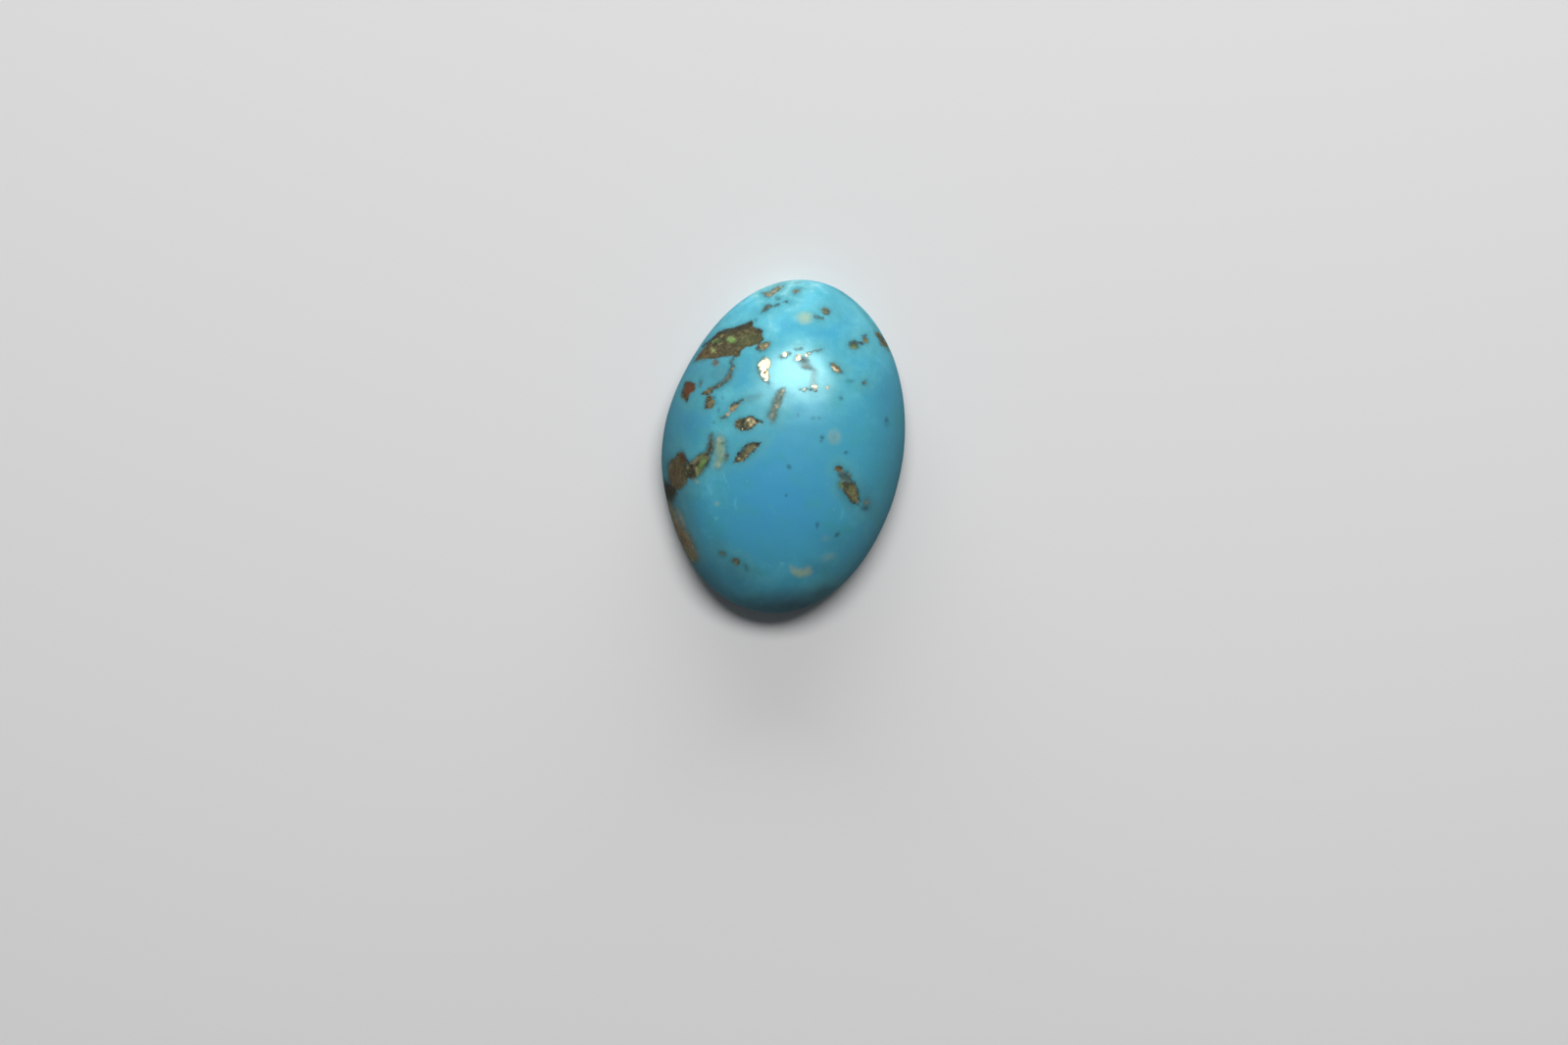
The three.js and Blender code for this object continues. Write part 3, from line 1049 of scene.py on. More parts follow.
SCRATCHES = [
    Tint("left scratch", vein((721, 493, 0.8), (724, 499, 1.2), (726, 504, 0.8)), 0.22),
    Tint("left long scratch", vein((737, 480, 0.8), (741, 492, 1.2)), 0.28),
    Tint("middle scratch", vein((752, 507, 0.8), (750, 513, 1.2), (752, 520, 1.0)), 0.28),
    Tint("low scratch", vein((785, 516, 0.8), (789, 520, 1.2), (791, 523, 1.0)), 0.42),
    Tint("lower right scratch", vein((861, 520, 0.8), (857, 531, 1.2)), 0.2),
    Tint("strip foot", spot(732.5, 473.5, 6.4, 6), 0.5),
    Tint("white speck", spot(730.5, 529, 2.6, 2.2), 0.34),
    Tint("low white speck", spot(725, 548, 2.2, 2), 0.2),
    Tint("bottom white speck", spot(798, 575, 2.2, 2.4), 0.3),
    Tint("far left dash", spot(709, 435, 3, 2), 0.3),
]
tell("cream", CREAM)
tell("scratches", SCRATCHES)

# %% Green and rust
GREEN = [
    Tint("field green", spot(746, 346, 9, 6.4, 10), 1.0),
    Tint("field yellow green", spot(727, 357, 4.5, 5), 0.6),
    Tint("field pale green", spot(731, 347.5, 8, 3, -15), 0.5),
    Tint("field olive", spot(764, 347, 24, 13, -10), 0.10, 0.6),
    Tint("chain green", spot(717.5, 471.5, 6, 10, 20), 0.85),
    Tint("chain low green", spot(714.8, 475.6, 5, 6, 20), 0.85),
    Tint("chain upper green", spot(715, 466, 7, 4, -20), 0.4),
    Tint("strip green", vein((735, 454, 6), (733, 466, 8), (736, 470, 8)), 0.75, 0.4),
    Tint("chain right green", spot(718, 476.5, 4.6, 4), 0.5),
    Tint("chain yellow green", spot(712.4, 481, 3.6, 9, 20), 0.6),
    Tint("strip foot green", spot(738.6, 469, 5, 4), 0.6),
    Tint("knot green", spot(838.5, 317.5, 4, 5), 0.5),
    Tint("lens green", spot(857.6, 494.5, 4.4, 7), 0.75),
    Tint("lens body olive", spot(869.5, 502, 8, 18, -25), 0.15, 0.6),
    Tint("oval green", spot(871, 354.5, 9, 5), 0.5),
    Tint("small oval green", spot(884.5, 348, 4, 5), 0.3),
    Tint("lower left green", spot(748, 575, 6, 3), 0.3),
    Tint("left dot green", spot(736, 565, 6, 4), 0.25),
]
RUST = [
    Tint("rust patch", spot(704, 397, 11, 15, 20), 0.85, 0.4),
    Tint("rim field top", spot(696, 466, 8, 12, 15), 0.4, 0.4),
    Tint("rim field middle", spot(688, 486, 12, 24, 10), 0.3, 0.8),
    Tint("field left end", spot(721, 360, 16, 12, -30), 0.2, 0.6),
    Tint("red bit", spot(741.5, 464, 4, 5), 0.5),
    Tint("small square", spot(730, 370, 8, 8), 0.45),
    Tint("lower left knot", spot(752, 571, 4, 4), 0.35),
    Tint("right lens head", spot(855.5, 478, 6, 5), 0.3),
    Tint("lower left rim", vein((690, 536, 6), (700, 555, 8)), 0.35, 0.6),
]
tell("green", GREEN)
tell("rust", RUST)

# %% Dark specks and shades
SPECKS = [
    Tint("right rim speck", spot(904.6, 427.8, 3.4, 4.6), 0.8),
    Tint("right rim shade", spot(904.6, 431, 6, 9), 0.25),
    Tint("right speck", spot(863.4, 461.5, 3, 2.8), 0.8),
    Tint("middle speck", spot(805.5, 476, 4.6, 3.6, 30), 0.7),
    Tint("low speck", spot(802, 505.8, 2.4, 2.4), 0.8),
    Tint("upper speck", spot(858.5, 406.4, 3.8, 3, 40), 0.7),
    Tint("crown speck", spot(814.2, 423.2, 2.8, 2.8), 0.55),
    Tint("pair left", spot(829.4, 426.4, 2.8, 2.4), 0.6),
    Tint("pair right", spot(835.5, 426.5, 3, 2.6, 40), 0.6),
    Tint("cream dot", spot(838.8, 446.2, 4.6, 4), 0.75),
    Tint("cream dot foot", spot(837.8, 450, 2.8, 2.4), 0.65),
    Tint("lower dash", spot(834, 536, 2.2, 5), 0.8),
    Tint("lower knot", spot(854.3, 545.4, 4.6, 3.2, -40), 0.8),
    Tint("left dash", spot(733.5, 418.3, 2.8, 4.8), 0.65),
    Tint("vein dot", spot(729, 405.5, 3.4, 3), 0.55),
    Tint("vein far dot", spot(737.5, 405.8, 2.2, 2.8), 0.5),
    Tint("left low dot", spot(728, 431, 2.8, 2.4), 0.5),
    Tint("faint right", spot(867.5, 388.5, 8, 2.8), 0.45),
    Tint("cream mark", spot(737.5, 452.5, 2.6, 2.4), 0.75),
    Tint("field dot", spot(771.5, 326, 2.6, 3.4), 0.6),
    Tint("rim dot", spot(813, 288.5, 5, 2), 0.4),
    Tint("left top dot", spot(758, 305.5, 4, 2.4, -40), 0.4),
    Tint("cream shade", spot(850.5, 446, 6, 7), 0.16, 0.5),
    Tint("lens shade", spot(861, 505, 9, 24, -30), 0.3, 0.8),
    Tint("tan spot shade", spot(884, 508, 14, 30, -15), 0.25, 0.9),
    Tint("streak shade", spot(803, 407, 7, 12, 20), 0.12, 0.8),
]
# Painted shade: these darken the blue near the rim and at the near end, as shade would.
SHADES = [
    Tint("bottom shade", spot(804, 617, 76, 22, -3), 0.74, 1.9),
    Tint("bottom right shade", spot(842, 605, 40, 12, -25), 0.26, 1.6),
    Tint("rim field shade", spot(683, 506, 12, 26, -15), 0.55, 1.0),
    Tint("left shade", spot(702, 430, 34, 38), 0.2, 2.6),
    Tint("lower left shade", spot(748, 584, 60, 26, 25), 0.22, 2.0),
    Tint("right rim haze", spot(904, 400, 16, 40), 0.14, 1.4),
    Tint("upper left haze", spot(716, 382, 24, 20), 0.12, 1.4),
    Tint("far left haze", spot(742, 323, 28, 16, -35), 0.14, 1.4),
    Tint("lower left haze", spot(733, 553, 18, 16), 0.15, 1.4),
    Tint("low right haze", spot(848, 550, 30, 24), 0.13, 1.8),
    Tint("lower right haze", spot(838, 577, 28, 16), 0.16, 1.2),
]
tell("specks", SPECKS)
tell("shades", SHADES)
print(len(CREAM + SCRATCHES + GREEN + RUST + SPECKS + SHADES), "tints")

# %% [markdown]
# ## Soft clouds
# The turquoise itself has paler and deeper clouds. Noise alone makes such clouds too, but not where this
# stone has them, so the clearest ones are listed one by one and noise only adds the rest. One of them, over
# the bright spot of the dome, is a painted highlight. A cloud has a middle and a radius in pixels, and says
# how much paler the blue is there.

# %% Clouds in the blue
Cloud = namedtuple("Cloud", "x y radius paler")
CLOUDS = [
    Cloud(800, 503, 60, -0.38),
    Cloud(750, 315, 36, 0.05),
    Cloud(795, 305, 30, 0.05),
    Cloud(843, 302, 20, -0.20),
    Cloud(821, 300, 12, -0.12),
    Cloud(822, 334, 16, -0.20),
    Cloud(800, 330, 10, -0.20),
    Cloud(850, 338, 14, -0.14),
    Cloud(878, 336, 13, 0.16),
    Cloud(770, 318, 9, -0.15),
    Cloud(790, 335, 8, 0.16),
    Cloud(817, 348, 14, 0.20),
    Cloud(750, 383, 12, -0.30),
    Cloud(757, 366, 8, -0.28),
    Cloud(730, 383, 10, 0.05),
    # painted highlight: paler blue under the soft box's mirror image on the dome
    Cloud(812, 380, 36, 0.30),
    Cloud(765, 408, 18, 0.28),
    Cloud(746, 402, 9, 0.25),
    Cloud(738, 402, 8, 0.22),
    Cloud(737, 436, 14, 0.35),
    Cloud(705, 435, 18, -0.25),
    Cloud(735, 498, 22, 0.20),
    Cloud(785, 445, 14, 0.12),
    Cloud(868, 388, 24, 0.22),
    Cloud(892, 385, 16, 0.05),
    Cloud(898, 402, 15, -0.18),
    Cloud(716, 380, 14, -0.12),
    Cloud(865, 430, 25, 0.10),
    Cloud(895, 440, 20, -0.12),
    Cloud(870, 490, 18, -0.10),
    Cloud(770, 585, 30, 0.15),
    Cloud(830, 580, 25, 0.12),
]
print(len(CLOUDS), "clouds")

# %% [markdown]
# ## Distances on the mesh
# Each corner of the mesh is looked up in the photograph through the camera's own perspective, so an
# inclusion lands on the stone where the photograph shows it, whatever the dome does below it. A little
# noise in the look-up frays the straight edges between the corners of a patch, as broken rock is frayed.
# The steep wall is hardly seen from above, and a patch would run straight down it. So the look-up wanders
# more there, and the inclusions draw in towards the back, as pieces of rock that end inside the stone.

# %% Corners of the mesh as pixels
mesh = stone.data
points = np.empty(len(mesh.vertices) * 3)
mesh.vertices.foreach_get("co", points)
points = points.reshape(-1, 3) / MM

from_camera = points - np.array(camera_place)
depth = -from_camera[:, 2]
photo_x = PHOTO_WIDTH / 2 + focal_px * (from_camera @ np.array(photo_right)) / depth
photo_y = PHOTO_HEIGHT / 2 - focal_px * (from_camera @ np.array(photo_up)) / depth
places = np.stack([photo_x, photo_y], axis=1)
print("pixels", places.min(axis=0).round(), "to", places.max(axis=0).round())

# %% Frayed look-up
FAR = 3.0  # millimetres, past which a distance no longer matters
FRAY_SEED = 1  # without a seed, this noise starts from the clock and frays differently in each run
FRAY_WAVES = [(1.6, 0.9), (4.0, 0.55)]  # waves a millimetre, and pixels of fraying
WALL_TOP = 4.5  # millimetres: lower than this the wall is steep, and straight edges on it would show
WALL_BLEND = 2.5  # millimetres further down, where the wander is full
WALL_WAVES = 0.7  # waves a millimetre
WALL_WANDER_PX = 8
TAPER_TOP = 3.2  # millimetres: lower than this the inclusions draw in
TAPER = 1.6  # millimetres that they have drawn in at the back


def strays(waves):
    """A smooth offset for every corner of the mesh, with this many waves a millimetre."""
    return np.array([noise.noise_vector(Vector(point) * waves) for point in points])[:, :2]


noise.seed_set(FRAY_SEED)
frayed = places.copy()
for waves, pixels in FRAY_WAVES:
    frayed += pixels * strays(waves)
on_wall = np.clip((WALL_TOP - points[:, 2]) / WALL_BLEND, 0, 1)
frayed += WALL_WANDER_PX * on_wall[:, None] * strays(WALL_WAVES)
taper = TAPER * np.clip(1 - points[:, 2] / TAPER_TOP, 0, 1)


def distance_to(gap, at=frayed):
    """Distance of every corner of the mesh from an inclusion in millimetres, negative inside it."""
    return np.minimum(gap(at) / PIXELS_PER_MM + taper, FAR)


def keep_field(name, values):
    """Stores one number for each corner of the mesh under a name that the finish can read."""
    mesh.attributes.new(name, "FLOAT", "POINT").data.foreach_set("value", values.astype(np.float32))


print(f"fraying up to {np.abs(frayed - places).max():.1f} pixels")

# %% [markdown]
# ## Layers of matrix and tints
# Patches of matrix overlap, with grains and dark edges on larger fields. Each could have a mask of its
# own, but six numbers for each corner hold them all: the distance to the nearest patch, and the tone,
# shine, grain, softness and strength there. A later patch lies on an earlier one and blends over it, as
# one layer of paint over another. Tints are simpler: where several lie on one place, the strongest
# counts.

# %% Matrix over the turquoise
NO_COVER = 1e-6  # a smaller cover counts as this one, so that nothing is divided by 0


def cover_of(gap, soft, strength):
    """How much of the blue is covered at a distance from an inclusion."""
    share = np.clip(0.5 - gap / soft / 2, 0, 1)
    return strength * share * share * (3 - 2 * share)


matrix_gap = np.full(len(points), FAR)
tone, shine, grain = np.zeros((3, len(points)))
soft, strength = np.ones(len(points)), np.zeros(len(points))
for inclusion in MATRIX:
    gap = distance_to(inclusion.gap)
    below = cover_of(matrix_gap, soft, strength)
    over = cover_of(gap, inclusion.soft, inclusion.strength)
    both = over + below * (1 - over)
    share = np.where(both > 0, over / np.maximum(both, NO_COVER), gap < matrix_gap)
    tone += share * (inclusion.tone - tone)
    shine += share * (inclusion.shine - shine)
    grain += share * (inclusion.grain - grain)
    soft += share * (1 - below) * (inclusion.soft - soft)
    strength += share * (1 - below) * (inclusion.strength - strength)
    matrix_gap = np.minimum(matrix_gap, gap)
keep_field("matrix gap", matrix_gap)
keep_field("matrix tone", tone)
keep_field("matrix shine", shine)
keep_field("matrix grain", grain)
keep_field("matrix soft", soft)
keep_field("matrix strength", strength)
print(f"matrix on {np.mean(matrix_gap < 0):.1%} of the mesh's corners")

# %% Tints over the stone


def amount_of(tints, at=frayed):
    """The strongest of these tints at every corner of the mesh."""
    amount = np.zeros(len(points))
    for tint in tints:
        share = np.clip(0.5 - distance_to(tint.gap, at) / tint.soft, 0, 1)
        amount = np.maximum(amount, tint.strength * share)
    return amount


for name, tints in (("cream", CREAM), ("green", GREEN), ("rust", RUST), ("speck", SPECKS)):
    amount = amount_of(tints)
    keep_field(name, amount)
    print(f"{name} on {np.mean(amount > 0):.1%} of the mesh's corners")

# %% [markdown]
# ## Paler, deeper and darker blue
# The far end of the stone is paler, partly in its own blue and partly as painted light where it faces the
# lamps, a deep blue lies in the near half, and away from it the stone turns towards teal. Towards the
# girdle a painted shade darkens it, except at the far end, and its polish grows duller, because a wheel
# reaches the steep wall less well. A gradient texture could do one of these, but numbers on the mesh do
# all of them in the photograph's own pixels.

# %% Paler and deeper blue
PALER_FROM = 0.5  # share of the way from the middle to the far end
# partly the stone's own paler blue, partly painted light and sheen where the far end faces the lamps
FAR_END_PALER_AND_LIT = 0.56
FAR_END_POWER = 1.5
SCRATCH_PALER = 1.6
DEEP_MIDDLE_PX = (790, 510)  # where the blue is deepest
DEEP_REACH_PX = 85
FAR_END_TEAL_LOSS = 0.7


def bell(x, y, radius):
    """1 at this pixel, falling softly towards 0 around it."""
    away = np.hypot(places[:, 0] - x, places[:, 1] - y) / radius
    return np.exp(-away * away)


farness = (STONE_MIDDLE_PX[1] - places[:, 1]) / (PIXELS_PER_MM * LENGTH / 2)
far_end = np.maximum(farness, 0)
pale_share = np.clip((farness - PALER_FROM) / (1 - PALER_FROM), 0, 1) ** FAR_END_POWER
paler = FAR_END_PALER_AND_LIT * pale_share + SCRATCH_PALER * amount_of(SCRATCHES)
for cloud in CLOUDS:
    paler += cloud.paler * bell(cloud.x, cloud.y, cloud.radius)
keep_field("paler", paler)
keep_field("teal", (1 - bell(*DEEP_MIDDLE_PX, DEEP_REACH_PX)) * (1 - FAR_END_TEAL_LOSS * far_end))
print(f"paler by {paler.min():.2f} to {paler.max():.2f}")

# %% Painted shade at the girdle, and a duller wall
RIM_SHADE_STRENGTH = 0.38
RIM_SHADE_REACH = 4.8  # millimetres in from the outline
FAR_END_SHADE_LOSS = 1.1
DULL_BELOW = 4.5  # millimetres: lower than this the near end has no polish
POLISH_RISE = 3.5  # millimetres from there to the full polish
FAR_END_POLISH = 3.0  # millimetres that the polish reaches further down at the far end

inset = oval_radius(np.arctan2(points[:, 1], points[:, 0])) - np.hypot(points[:, 0], points[:, 1])
near_share = np.maximum(1 - FAR_END_SHADE_LOSS * far_end, 0)
# Painted shade: the blue is darkened towards the girdle, except at the far end, and the shades are added to
# it.
rim_shade = RIM_SHADE_STRENGTH * np.clip(1 - inset / RIM_SHADE_REACH, 0, 1) * near_share
keep_field("painted rim shade", 1 - (1 - rim_shade) * (1 - amount_of(SHADES, places)))
polish_height = points[:, 2] - DULL_BELOW + FAR_END_POLISH * far_end
keep_field("polish", np.clip(polish_height / POLISH_RISE, 0, 1))
print(f"stain up to {rim_shade.max():.2f}")

# %% [markdown]
# ## Sunken matrix and polish waves
# Matrix is softer than turquoise, so polishing wears it a little lower and leaves its floor rough, while
# hard pyrite stays nearly level. The polished blue isn't perfect either: it has waves far too low to see,
# except in how they bend the highlight. Both follow the surface, so a second tree moves the mesh along
# its own normals.

# %% The relief tree
CRISP = 0.1  # millimetres: a patch with a softer edge than this sinks less
PYRITE_STANDS = 0.75  # share of the depth that pyrite keeps from sinking
BACK_EDGE = 0.6  # millimetres above the back where the relief fades out

relief, given = tree_with(
    "relief",
    {
        "Geometry": "NodeSocketGeometry",
        "Depth": "NodeSocketFloat",
        "Wall": "NodeSocketFloat",
        "Roughness": "NodeSocketFloat",
        "Polish waves": "NodeSocketFloat",
        "Polished": "NodeSocketMaterial",
        "Sawn": "NodeSocketMaterial",
    },
)


def named(tree, name):
    """A number that was stored on the mesh, as a field of a Geometry Nodes tree."""
    kind = "GeometryNodeInputNamedAttribute"
    return output_of(tree, kind, "Attribute", {"Name": name}, data_type="FLOAT")


def soft_noise(tree, place, waves, detail=2.0, roughness=0.5, distortion=0.0):
    """Soft noise about 0, from minus a half to a half, with this many waves a millimetre."""
    inputs = {"Vector": place, "Scale": waves, "Detail": detail, "Roughness": roughness}
    return output_of(tree, "ShaderNodeTexNoise", 0, inputs | {"Distortion": distortion}) - 0.5


def ramp(value, start, end):
    """0 before start, 1 after end, and smooth between them. End may be lower than start."""
    rising = start < end
    inputs = {"Value": value, "From Min": min(start, end), "From Max": max(start, end)}
    inputs |= {"To Min": float(not rising), "To Max": float(rising)}
    return output_of(value.tree, "ShaderNodeMapRange", "Result", inputs, interpolation_type="SMOOTHSTEP")


place = vectors("SCALE", output_of(relief, "GeometryNodeInputPosition", "Position"), 1 / MM)
inwards = 0.0 - named(relief, "matrix gap") / given["Wall"]
floor_share = maths("MINIMUM", maths("MAXIMUM", inwards, 0.0), 1.0)
firm = named(relief, "matrix strength") * maths("MINIMUM", CRISP / named(relief, "matrix soft"), 1.0)
soft_share = floor_share * firm * (1 - PYRITE_STANDS * named(relief, "matrix shine"))
rough_floor = given["Roughness"] * soft_noise(relief, place, waves=2.6, detail=3.0)
lowered = soft_share * (given["Depth"] - rough_floor)
waviness = given["Polish waves"] * soft_noise(relief, place, waves=0.33, detail=1.0)
_, _, height = split(place)
shift = (waviness - lowered) * ramp(height, 0.0, BACK_EDGE) * MM
normal = output_of(relief, "GeometryNodeInputNormal", "Normal")
offset = vectors("MULTIPLY", normal, joined(shift, shift, shift))
moved = output_of(
    relief, "GeometryNodeSetPosition", "Geometry", {"Geometry": given["Geometry"], "Offset": offset}
)
end_tree(relief, moved, given)

# %% The worn stone
# Depth, the width of the sloping wall round a patch, roughness and waves are all in millimetres.
run_tree(
    stone,
    relief,
    {
        "Depth": 0.07,
        "Wall": 0.32,
        "Roughness": 0.05,
        "Polish waves": 0.05,
        "Polished": polished,
        "Sawn": sawn,
    },
)

# %% [markdown]
# ## The blue itself
# Turquoise is never one colour: paler cyan clouds lie in deeper blue, with fine pale flecks. The polished
# dome and the sawn back share that body, so it is one shader group, with the place on the stone as its
# input.

# %% Colours and groups of a finish


def mixed(share, a, b):
    """Colour a, going over to colour b as share goes from 0 to 1."""
    tree = share.tree
    made = place_node(tree, "ShaderNodeMix", data_type="RGBA")
    for socket, value in zip((made.inputs[0], made.inputs[6], made.inputs[7]), (share, a, b)):
        plug(tree, socket, value)
    return Field(tree, made.outputs[2])


def colour_ramp(value, stops):
    """A colour for each value, blended between stops of (value, colour)."""
    made = place_node(value.tree, "ShaderNodeValToRGB", {"Fac": value})
    elements = made.color_ramp.elements
    while len(elements) < len(stops):
        elements.new(0.5)
    for element, (at, colour) in zip(elements, stops):
        element.position = at
        element.color = (*colour, 1)
    return Field(value.tree, made.outputs["Color"])


def shader_group(name, inputs, outputs):
    """An empty shader group with named sockets, its inputs as fields, and the node for its outputs."""
    tree = bpy.data.node_groups.new(name, "ShaderNodeTree")
    for socket_name, kind in inputs.items():
        tree.interface.new_socket(name=socket_name, in_out="INPUT", socket_type=kind)
    for socket_name, kind in outputs.items():
        tree.interface.new_socket(name=socket_name, in_out="OUTPUT", socket_type=kind)
    given = tree.nodes.new("NodeGroupInput")
    fields = {socket_name: Field(tree, given.outputs[socket_name]) for socket_name in inputs}
    return tree, fields, tree.nodes.new("NodeGroupOutput")


# %% Turquoise body
BLUES = [  # by paleness
    (0.0, (0.046, 0.275, 0.470)),
    (0.38, (0.050, 0.294, 0.452)),
    (0.72, (0.090, 0.395, 0.530)),
    (1.0, (0.265, 0.570, 0.645)),
]
PALENESS = 0.40
CLOUDINESS = 0.55
GRAININESS = 0.08
TEAL = (0.045, 0.290, 0.360, 1)
TEAL_SHARE = 0.5
TEAL_FROM, TEAL_FULL = -0.02, 0.22
FLECK = (0.260, 0.520, 0.600, 1)
FLECK_SHARE = 0.35
FLECKS_PER_MM = 0.8
FLECK_RAGGED = 0.12
FLECK_RIM, FLECK_CORE = 0.08, 0.02

body, given, result = shader_group(
    "turquoise body",
    {"Place": "NodeSocketVector", "Paler": "NodeSocketFloat", "Mottled": "NodeSocketFloat"},
    {"Color": "NodeSocketColor"},
)
place = given["Place"]
clouds = soft_noise(body, place, waves=0.24, detail=3.0, roughness=0.55, distortion=0.6)
mottle = soft_noise(body, place, waves=1.1, detail=4.0, roughness=0.6, distortion=0.4)
fine = soft_noise(body, place, waves=7.0)
paleness = PALENESS + CLOUDINESS * clouds + given["Mottled"] * mottle + GRAININESS * fine + given["Paler"]
blue = colour_ramp(paleness, BLUES)
teal_share = TEAL_SHARE * ramp(soft_noise(body, place, waves=0.5), TEAL_FROM, TEAL_FULL)
tinted = mixed(teal_share, blue, TEAL)
flecks = output_of(body, "ShaderNodeTexVoronoi", "Distance", {"Vector": place, "Scale": FLECKS_PER_MM})
fleck_share = FLECK_SHARE * ramp(flecks + FLECK_RAGGED * fine, FLECK_RIM, FLECK_CORE)
plug(body, result.inputs["Color"], mixed(fleck_share, tinted, FLECK))
print(body.name, len(body.nodes), "nodes")

# %% [markdown]
# ## The polished finish
# One Principled shader carries the whole dome. Its colour starts with the blue body, paler along the
# scratches, and takes on, in turn, the teal away from the deepest blue, the teal and the darker halo
# round the matrix, the cream, the dark specks and the painted shade towards the girdle. Layered materials
# with masks could do the same, but one chain of mixed colours is easier to follow and to export.

# %% Polished turquoise
GRAINS_PER_MM = 4.0
WARP_WAVES = 2.2  # waves a millimetre
GRAIN_WARP = 0.5  # millimetres
EDGE_FRAY = 0.10  # millimetres
EDGE_BITE = 0.22  # millimetres that single grains move the edge of a patch
MOTTLED = 0.3
MOTTLED_MORE = 0.42  # near the matrix
MOTTLED_BAND = (2.6, 0.3)  # each band runs inwards, in millimetres from the edge of the matrix
TEAL_TINT = (1.0, 0.97, 0.84)
VEIN_TEAL = (0.085, 0.310, 0.340, 1)
VEIN_SHARE = 0.5
VEIN_BAND = (1.5, 0.1)
VEIN_UNEVEN = 0.8
HALO = (0.040, 0.230, 0.290, 1)
HALO_SHARE = 0.5
HALO_BAND = (0.5, 0.0)
HALO_UNEVEN = 0.5
CREAM_COLOUR = (0.370, 0.410, 0.205, 1)
CREAM_UNEVEN = 0.9
SPECK_COLOUR = (0.020, 0.060, 0.085, 1)
SPECK_UNEVEN = 0.8
# the colour of the painted shade towards the girdle
RIM = (0.034, 0.062, 0.088, 1)
RIM_UNEVEN = 0.5

polished.use_nodes = True
tree = polished.node_tree
shader = tree.nodes["Principled BSDF"]


def stored(tree, name):
    """A number stored on the mesh, as a field of a finish."""
    return output_of(tree, "ShaderNodeAttribute", "Fac", attribute_name=name)


def use_group(tree, group, output, inputs):
    """One output of a group that is placed in a material, as a field."""
    return output_of(tree, "ShaderNodeGroup", output, inputs, node_tree=group)


place = vectors("SCALE", output_of(tree, "ShaderNodeTexCoord", "Object"), 1 / MM)
fine = soft_noise(tree, place, waves=5.0, detail=3.0, roughness=0.6)
uneven = soft_noise(tree, place, waves=0.8, detail=3.0, roughness=0.6)
warp = output_of(tree, "ShaderNodeTexNoise", "Color", {"Vector": place, "Scale": WARP_WAVES})
grain_place = vectors("ADD", place, vectors("SCALE", warp, GRAIN_WARP))
cells = place_node(tree, "ShaderNodeTexVoronoi", {"Vector": grain_place, "Scale": GRAINS_PER_MM})
draw, second_draw, third_draw = split(Field(tree, cells.outputs["Color"]))
grain = stored(tree, "matrix grain")
gap = stored(tree, "matrix gap") + EDGE_FRAY * fine + EDGE_BITE * grain * (third_draw - 0.5)
shine = stored(tree, "matrix shine")
mottled = MOTTLED + MOTTLED_MORE * ramp(gap, *MOTTLED_BAND)
blue = use_group(tree, body, "Color", {"Place": place, "Paler": stored(tree, "paler"), "Mottled": mottled})
colour = mixed(stored(tree, "teal"), blue, vectors("MULTIPLY", blue, TEAL_TINT))
colour = mixed(VEIN_SHARE * ramp(gap + VEIN_UNEVEN * uneven, *VEIN_BAND), colour, VEIN_TEAL)
halo_gap = gap + HALO_UNEVEN * soft_noise(tree, place, waves=1.5)
halo = HALO_SHARE * ramp(halo_gap, *HALO_BAND) * (1 - shine)
colour = mixed(halo, colour, HALO)
cream = stored(tree, "cream") * (1 + CREAM_UNEVEN * soft_noise(tree, place, waves=2.4, detail=3.0))
colour = mixed(cream, colour, CREAM_COLOUR)
colour = mixed(stored(tree, "speck") * (1 + SPECK_UNEVEN * fine), colour, SPECK_COLOUR)
# painted shade towards the girdle, with the shades
colour = mixed(stored(tree, "painted rim shade") * (1 + RIM_UNEVEN * uneven), colour, RIM)
print("blue of the dome", len(tree.nodes), "nodes")

# %% [markdown]
# ## Matrix and pyrite on the dome
# Matrix is a mix of small grains from nearly black to golden tan, often with a dark bead of grains along
# its edge. The grains are the cells of a Voronoi pattern, and each cell draws its own numbers. Cells that
# draw less than the patch's shine are pyrite, metallic and tilted each its own way, so that they glint
# one by one. Modelled grains would need far more triangles for the same sparkle.

# %% Matrix on the dome
PALEST_TONE = 1.25
MATRIX_TONES = [  # as shares of the palest tone
    (0.0, (0.022, 0.017, 0.014)),
    (0.24, (0.056, 0.044, 0.018)),
    (0.48, (0.155, 0.128, 0.060)),
    (0.64, (0.270, 0.215, 0.115)),
    (0.8, (0.450, 0.340, 0.190)),
    (1.0, (0.850, 0.760, 0.540)),
]
BLOTCHES = 0.5
SMALL_BLOTCHES = 0.25
GRAIN_CONTRAST = 0.7
DARK_EDGE = (0.030, 0.024, 0.022, 1)
EDGE_BAND = (-0.24, -0.02)  # millimetres, negative inside the matrix
EDGE_SHARE = 0.2
BEAD_SHARE = 0.8
BEAD_DRAWS = (0.7, 0.3)
RUST_COLOUR = (0.112, 0.033, 0.012, 1)
GREEN_COLOUR = (0.085, 0.190, 0.045, 1)
YELLOW_GREEN = (0.160, 0.225, 0.072, 1)
YELLOW_DRAWS = (0.3, 0.9)

